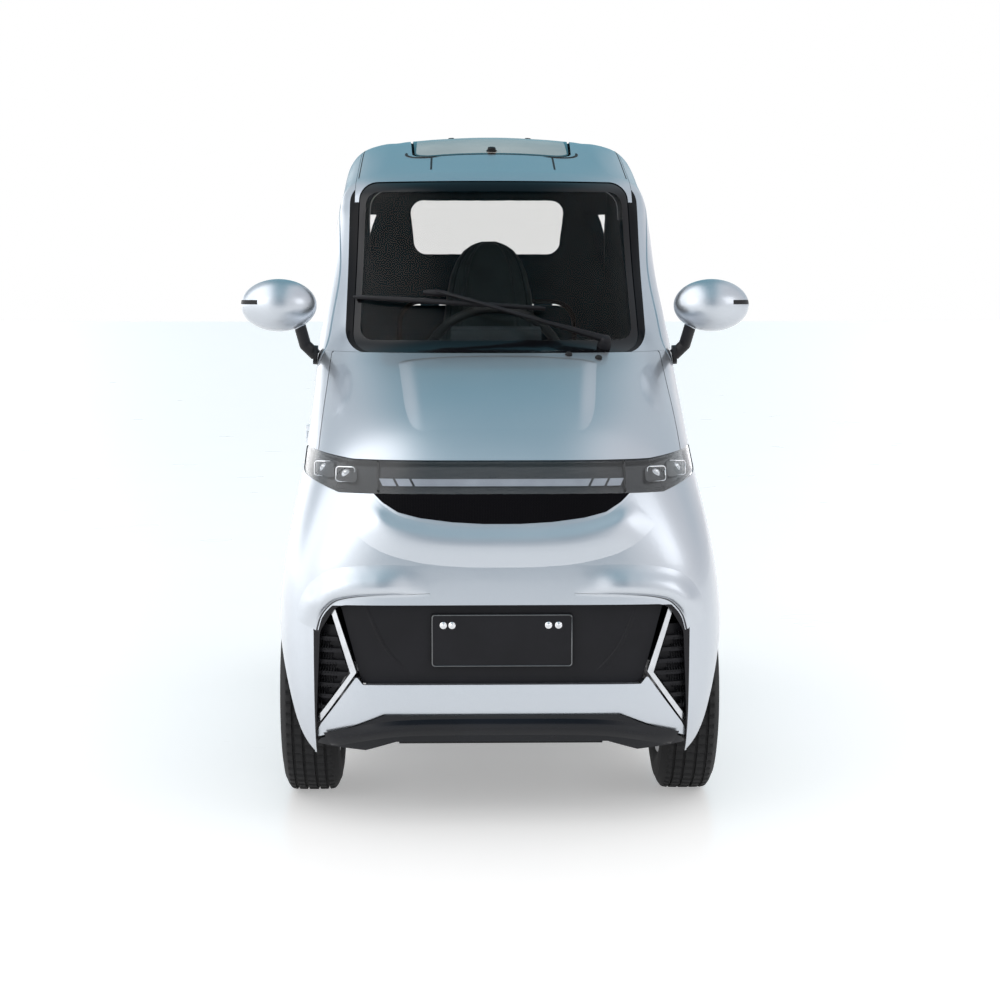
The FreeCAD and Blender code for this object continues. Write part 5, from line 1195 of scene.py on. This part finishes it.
def add_door_details():
    """Outer handles with their dished plates, locks, inner trim cards with armrests and pulls."""
    plate = [(1.0, -0.0006), (1.0, 0.0016), (0.93, 0.0026), (0.84, 0.0010), (0.5, 0.0006)]
    lock = [(-0.001, 0.0065), (0.003, 0.0065), (0.0036, 0.0055), (0.003, 0.002)]
    card = [(1.0, -0.0004), (1.0, 0.004), (0.97, 0.0055), (0.5, 0.0055), (0.06, 0.0055)]
    for side, sign in SIDES:
        body = "door_" + side
        tree = surface_of(body)

        def outside(y, z):
            return on_side(tree, sign, y, z)

        def inside(y, z):
            return from_cabin(tree, sign, y, z)

        shape = patch_on(outside, (0.285, 0.905), 0.075, 0.024, 0.022, plate)
        add_piece("handle_plate_" + side, shape, "black_matte", body=body)
        run, radii = [], []
        for t in spaced(16):
            arch = max(0.0, math.sin(math.pi * t))
            run.append(lifted(outside(0.225 + 0.120 * t, 0.909), 0.003 + 0.017 * arch ** 0.5))
            radii.append(0.0055 + 0.0025 * arch)
        add_piece("handle_" + side, tube(run, radii, 14), "paint", body=body)
        add_piece("lock_" + side, lathe(lock, 24, *outside(0.348, 0.905)), "bright", SATIN, body, flat=True)
        shape = patch_on(inside, (0.0, 0.760), 0.330, 0.175, 0.06, card)
        add_piece("door_card_" + side, shape, "trim", body=body)
        run, radii = [], []
        for t in spaced(24):
            arch = max(0.0, math.sin(math.pi * t))
            run.append(lifted(inside(-0.16 + 0.36 * t, 0.795 + 0.02 * t), 0.010 + 0.030 * arch ** 0.4))
            radii.append(0.012 + 0.010 * arch ** 0.5)
        add_piece("armrest_" + side, tube(run, radii, 18), "trim", body=body)


def add_rear_details():
    """Plate panel, lid handle, reflectors, and the rings in the tail lamps."""
    lid, bumper, lamps = surface_of("boot_lid"), surface_of("rear_bumper"), surface_of("tail_lamps")
    plate = [(1.0, -0.0006), (1.0, 0.003), (0.97, 0.004), (0.93, 0.0016)]
    plate += [(0.1 * k, 0.0016) for k in range(8, 0, -1)]
    handle = [(1.0, -0.0006), (1.0, 0.009), (0.92, 0.014), (0.5, 0.015), (0.1, 0.015)]
    reflector = [(1.0, -0.0006), (1.0, 0.003), (0.95, 0.0042), (0.1, 0.0046)]

    def on_lid(x, z):
        return on_rear(lid, x, z)

    def on_bumper(x, z):
        return on_rear(bumper, x, z)

    panel = patch_on(on_lid, (0.0, 0.800), 0.165, 0.062, 0.012, plate)
    add_piece("rear_plate_panel", panel, "black_matte", body="boot")
    bar = patch_on(on_lid, (0.0, 0.902), 0.120, 0.017, 0.014, handle)
    add_piece("lid_handle", bar, "black_gloss", body="boot")
    patches = [patch_on(on_bumper, (x, 0.262), 0.040, 0.014, 0.008, reflector) for x in (-0.33, 0.33)]
    add_piece("rear_reflectors", patches, "lamp_red")
    rings = []
    for x in (-0.345, -0.395, 0.345, 0.395):
        hit, normal = on_rear(lamps, x, 0.745)
        side = UPWARDS.cross(normal).normalized()
        for radius in (0.019, 0.011):
            ring = circle(hit + normal * 0.0008, side, normal.cross(side), radius, 36)
            rings.append(tube(ring, 0.0016, 8))
    add_piece("tail_lamp_rings", rings, "bright", CHROME)


STRUT_X, STRUT_Y, STRUT_LEAN = 0.375, -0.720, math.tan(math.radians(12))
WHEEL_HEIGHT = 0.247


def add_springs():
    """Coils round the front struts."""
    coils = []
    for sign in (-1, 1):
        ends = []
        for z in (0.513, 0.632):
            ends.append(Vector((sign * (STRUT_X - (z - WHEEL_HEIGHT) * STRUT_LEAN), STRUT_Y, z)))
        coils.append(helix(*ends, 0.0485, 0.0058, 4.5))
    add_piece("spring_coils", coils, "frame_black")


# Tyres: ribs, grooves and slanted sipes, in the tyre's own space; and the wheel bolts

WHEELS = [(end, side, sign) for end in ("front", "rear") for side, sign in SIDES]
TREAD_STEPS = 240
SIPE_EVERY = 4
GROOVES = (-0.036, -0.013, 0.013, 0.036)
GROOVE_HALF = 0.0035
GROOVE_DEPTH = 0.007
SIPE_DEPTH = 0.0045
BEAD_RADIUS, BEAD_HALF = 0.1525, 0.0527


def tyre_profile():
    """(across, radius, 1 on tread rows that carry sipes) from the inner bead to the outer one."""
    low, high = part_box("tyre_front_right")
    half = (high.x - low.x) / 2
    radius = (high.z - low.z) / 2
    bead, seat = BEAD_RADIUS, BEAD_HALF
    side = [
        (-seat, bead, 0), (-seat - 0.004, bead + 0.010, 0), (-seat - 0.010, bead + 0.022, 0),
        (-half + 0.0005, bead + 0.042, 0), (-half, bead + 0.050, 0), (-half + 0.0025, bead + 0.062, 0),
        (-half + 0.0032, bead + 0.064, 0), (-half + 0.0032, bead + 0.068, 0),
        (-half + 0.005, bead + 0.071, 0), (-half + 0.010, radius - 0.012, 0),
        (-half + 0.0155, radius - 0.0045, 0), (-half + 0.019, radius - 0.0022, 1),
    ]
    tread = []
    for middle in GROOVES:
        edge = middle - GROOVE_HALF
        tread += [(edge, radius, 1), (edge + 0.0008, radius - GROOVE_DEPTH, 0)]
        edge = middle + GROOVE_HALF
        tread += [(edge - 0.0008, radius - GROOVE_DEPTH, 0), (edge, radius, 1)]
    crown = [(x, r - 0.0022 * (x / half) ** 2, s) for x, r, s in tread]
    return side + crown + [(-x, r, s) for x, r, s in reversed(side)]


def tyre_shape():
    profile = tyre_profile()
    points = []
    for x, radius, sipes in profile:
        slant = 0.5 * math.sin(x * 40) * 0.03
        for k in range(TREAD_STEPS):
            turn = 2 * math.pi * k / TREAD_STEPS + slant
            r = radius - SIPE_DEPTH if sipes and k % SIPE_EVERY == 0 else radius
            points.append((x, r * math.cos(turn), r * math.sin(turn)))
    return points, ring_faces(len(profile), TREAD_STEPS)


def add_tyres():
    points, faces = tyre_shape()
    for end, side, sign in WHEELS:
        wheel = "%s_%s" % (end, side)
        low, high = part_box("tyre_" + wheel)
        middle = (low + high) / 2
        placed = [(middle.x + sign * x, middle.y + sign * y, middle.z + z) for x, y, z in points]
        obj = add_piece("treaded_tyre_" + wheel, (placed, faces), "tyre", body="wheel_" + wheel)
        sharp_by_angle(obj, 30)
        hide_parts("tyre_" + wheel)


def add_wheel_bolts():
    profile = [(-0.004, 0.0085), (0.002, 0.0085), (0.006, 0.0075), (0.0105, 0.007), (0.0115, 0.005)]
    for end, side, sign in WHEELS:
        wheel = "%s_%s" % (end, side)
        low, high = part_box("rim_" + wheel)
        face = high.x if sign > 0 else low.x
        centre = Vector((face - sign * 0.0225, (low.y + high.y) / 2, (low.z + high.z) / 2))
        bolts = []
        for turn in [math.pi / 4 + math.pi / 2 * k for k in range(4)]:
            place = centre + Vector((0, 0.036 * math.cos(turn), 0.036 * math.sin(turn)))
            bolts.append(lathe(profile, 6, place, RIGHTWARDS * sign))
        add_piece("bolts_" + wheel, bolts, "steel", body="wheel_" + wheel, flat=True)


# Floor, sky and lamps

FLOOR_REACH = 60.0
FLOOR_GLOW = 0.36
WHITE_LEFT, WHITE_RIGHT = (1.75, 1.75, 1.75), (0.95, 0.94, 0.96)
SILVER_LEFT, SILVER_RIGHT, SILVER_HIGH = (2.15, 2.17, 2.20), (0.80, 0.81, 0.85), (0.62, 0.69, 0.75)
DOORWAY_LOW, DOORWAY_HIGH = (0.27, 0.31, 0.37), (0.13, 0.25, 0.33)
TEAL = (0.13, 0.35, 0.45)


def floor_look(shader):
    """Pale floor that the camera sees a little brighter, so that it meets the white background."""
    tree = shader.id_data
    rough = ranged(noise(object_place(tree), 2.0), 0.25, 0.32)
    plain = dressed(shader, Base_Color=(0.80, 0.80, 0.80), Specular_IOR_Level=0.3, Roughness=rough)
    glow = make(tree, "Emission", 0, Strength=FLOOR_GLOW)
    bright = tree.nodes.new("ShaderNodeAddShader")
    feed(bright.inputs[0], plain)
    feed(bright.inputs[1], glow)
    seen = ray(tree, "Camera").most(ray(tree, "Glossy")).most(ray(tree, "Transmission"))
    return mixed_shader(seen, plain, Value(bright.outputs[0]))


def add_floor():
    mesh = bpy.data.meshes.new("floor")
    r = FLOOR_REACH
    mesh.from_pydata([(-r, -r, 0), (r, -r, 0), (r, r, 0), (-r, r, 0)], [], [(0, 1, 2, 3)])
    floor = bpy.data.objects.new("floor", mesh)
    collection.objects.link(floor)
    mesh.materials.append(material("floor_white", floor_look))


def add_sky():
    """Plain white for what lights the car; reflections see a hall with white walls each side, a dim
    doorway straight ahead, and teal overhead and behind."""
    world = bpy.data.worlds.new("sky")
    scene.world = world
    world.use_nodes = True
    tree = world.node_tree
    plain = dressed(tree.nodes["Background"], Color=(1.0, 1.0, 1.0))
    x, y, z = parts_of(make(tree, "TexCoord", "Generated"))
    out = abs(x)
    behind = eased(y, -0.3, 0.2) * eased(z, 0.02, 0.16).most(eased(out, 0.3, 0.5))
    silver = mixed_colour(eased(x, -0.5, 0.6), SILVER_LEFT, SILVER_RIGHT)
    silver = mixed_colour(eased(z, 0.10, 0.32) * eased(y, 0.15, 0.5), silver, SILVER_HIGH)
    dim = mixed_colour(eased(out, 0.10, 0.36), TEAL, silver)
    doorway = mixed_colour(eased(z, -0.1, 0.3), DOORWAY_LOW, DOORWAY_HIGH)
    walls = mixed_colour(eased(x, -0.6, 0.7), WHITE_LEFT, WHITE_RIGHT)
    ahead = mixed_colour(eased(out, 0.08, 0.38), doorway, walls)
    colour = mixed_colour(behind.most(eased(z, 0.35, 0.8)), ahead, dim)
    hall = make(tree, "Background", 0, Color=colour)
    mirrored = ray(tree, "Glossy") * (ray(tree, "Transmission") * -1.0 + 1.0)
    feed(tree.nodes["World Output"].inputs["Surface"], mixed_shader(mirrored, plain, hall))


LAMP_SIZE = 2.5
LAMP_TARGET = Vector((0, -0.5, 0.7))
LAMPS = (("lamp_front_left", (-4.0, -4.5, 3.2), 30), ("lamp_front_right", (4.2, -4.0, 3.0), 26))


def add_lamps():
    for name, place, energy in LAMPS:
        data = bpy.data.lights.new(name, "AREA")
        data.shape = "RECTANGLE"
        data.size = data.size_y = LAMP_SIZE
        data.energy = energy
        lamp = bpy.data.objects.new(name, data)
        lamp.location = place
        lamp.rotation_euler = (LAMP_TARGET - Vector(place)).to_track_quat("-Z", "Y").to_euler()
        collection.objects.link(lamp)


def finish_scene():
    scene.view_settings.view_transform = "Standard"


dress_nodes()
add_tyres()
add_wheel_bolts()
add_brows()
add_bonnet_crown()
add_nose_lip()
add_plate_details()
add_vent_ribs()
add_roof_lines()
add_hatch_details()
add_wiper()
add_washers()
add_lamp_insides()
add_mirror_glass()
add_grille_creases()
add_splitter_crease()
add_seat_cushion()
add_seat_back()
add_steering_wheel()
add_dashboard_details()
add_seals()
add_door_details()
add_rear_details()
add_springs()
add_pedals()
add_camera()
add_floor()
add_sky()
add_lamps()
finish_scene()
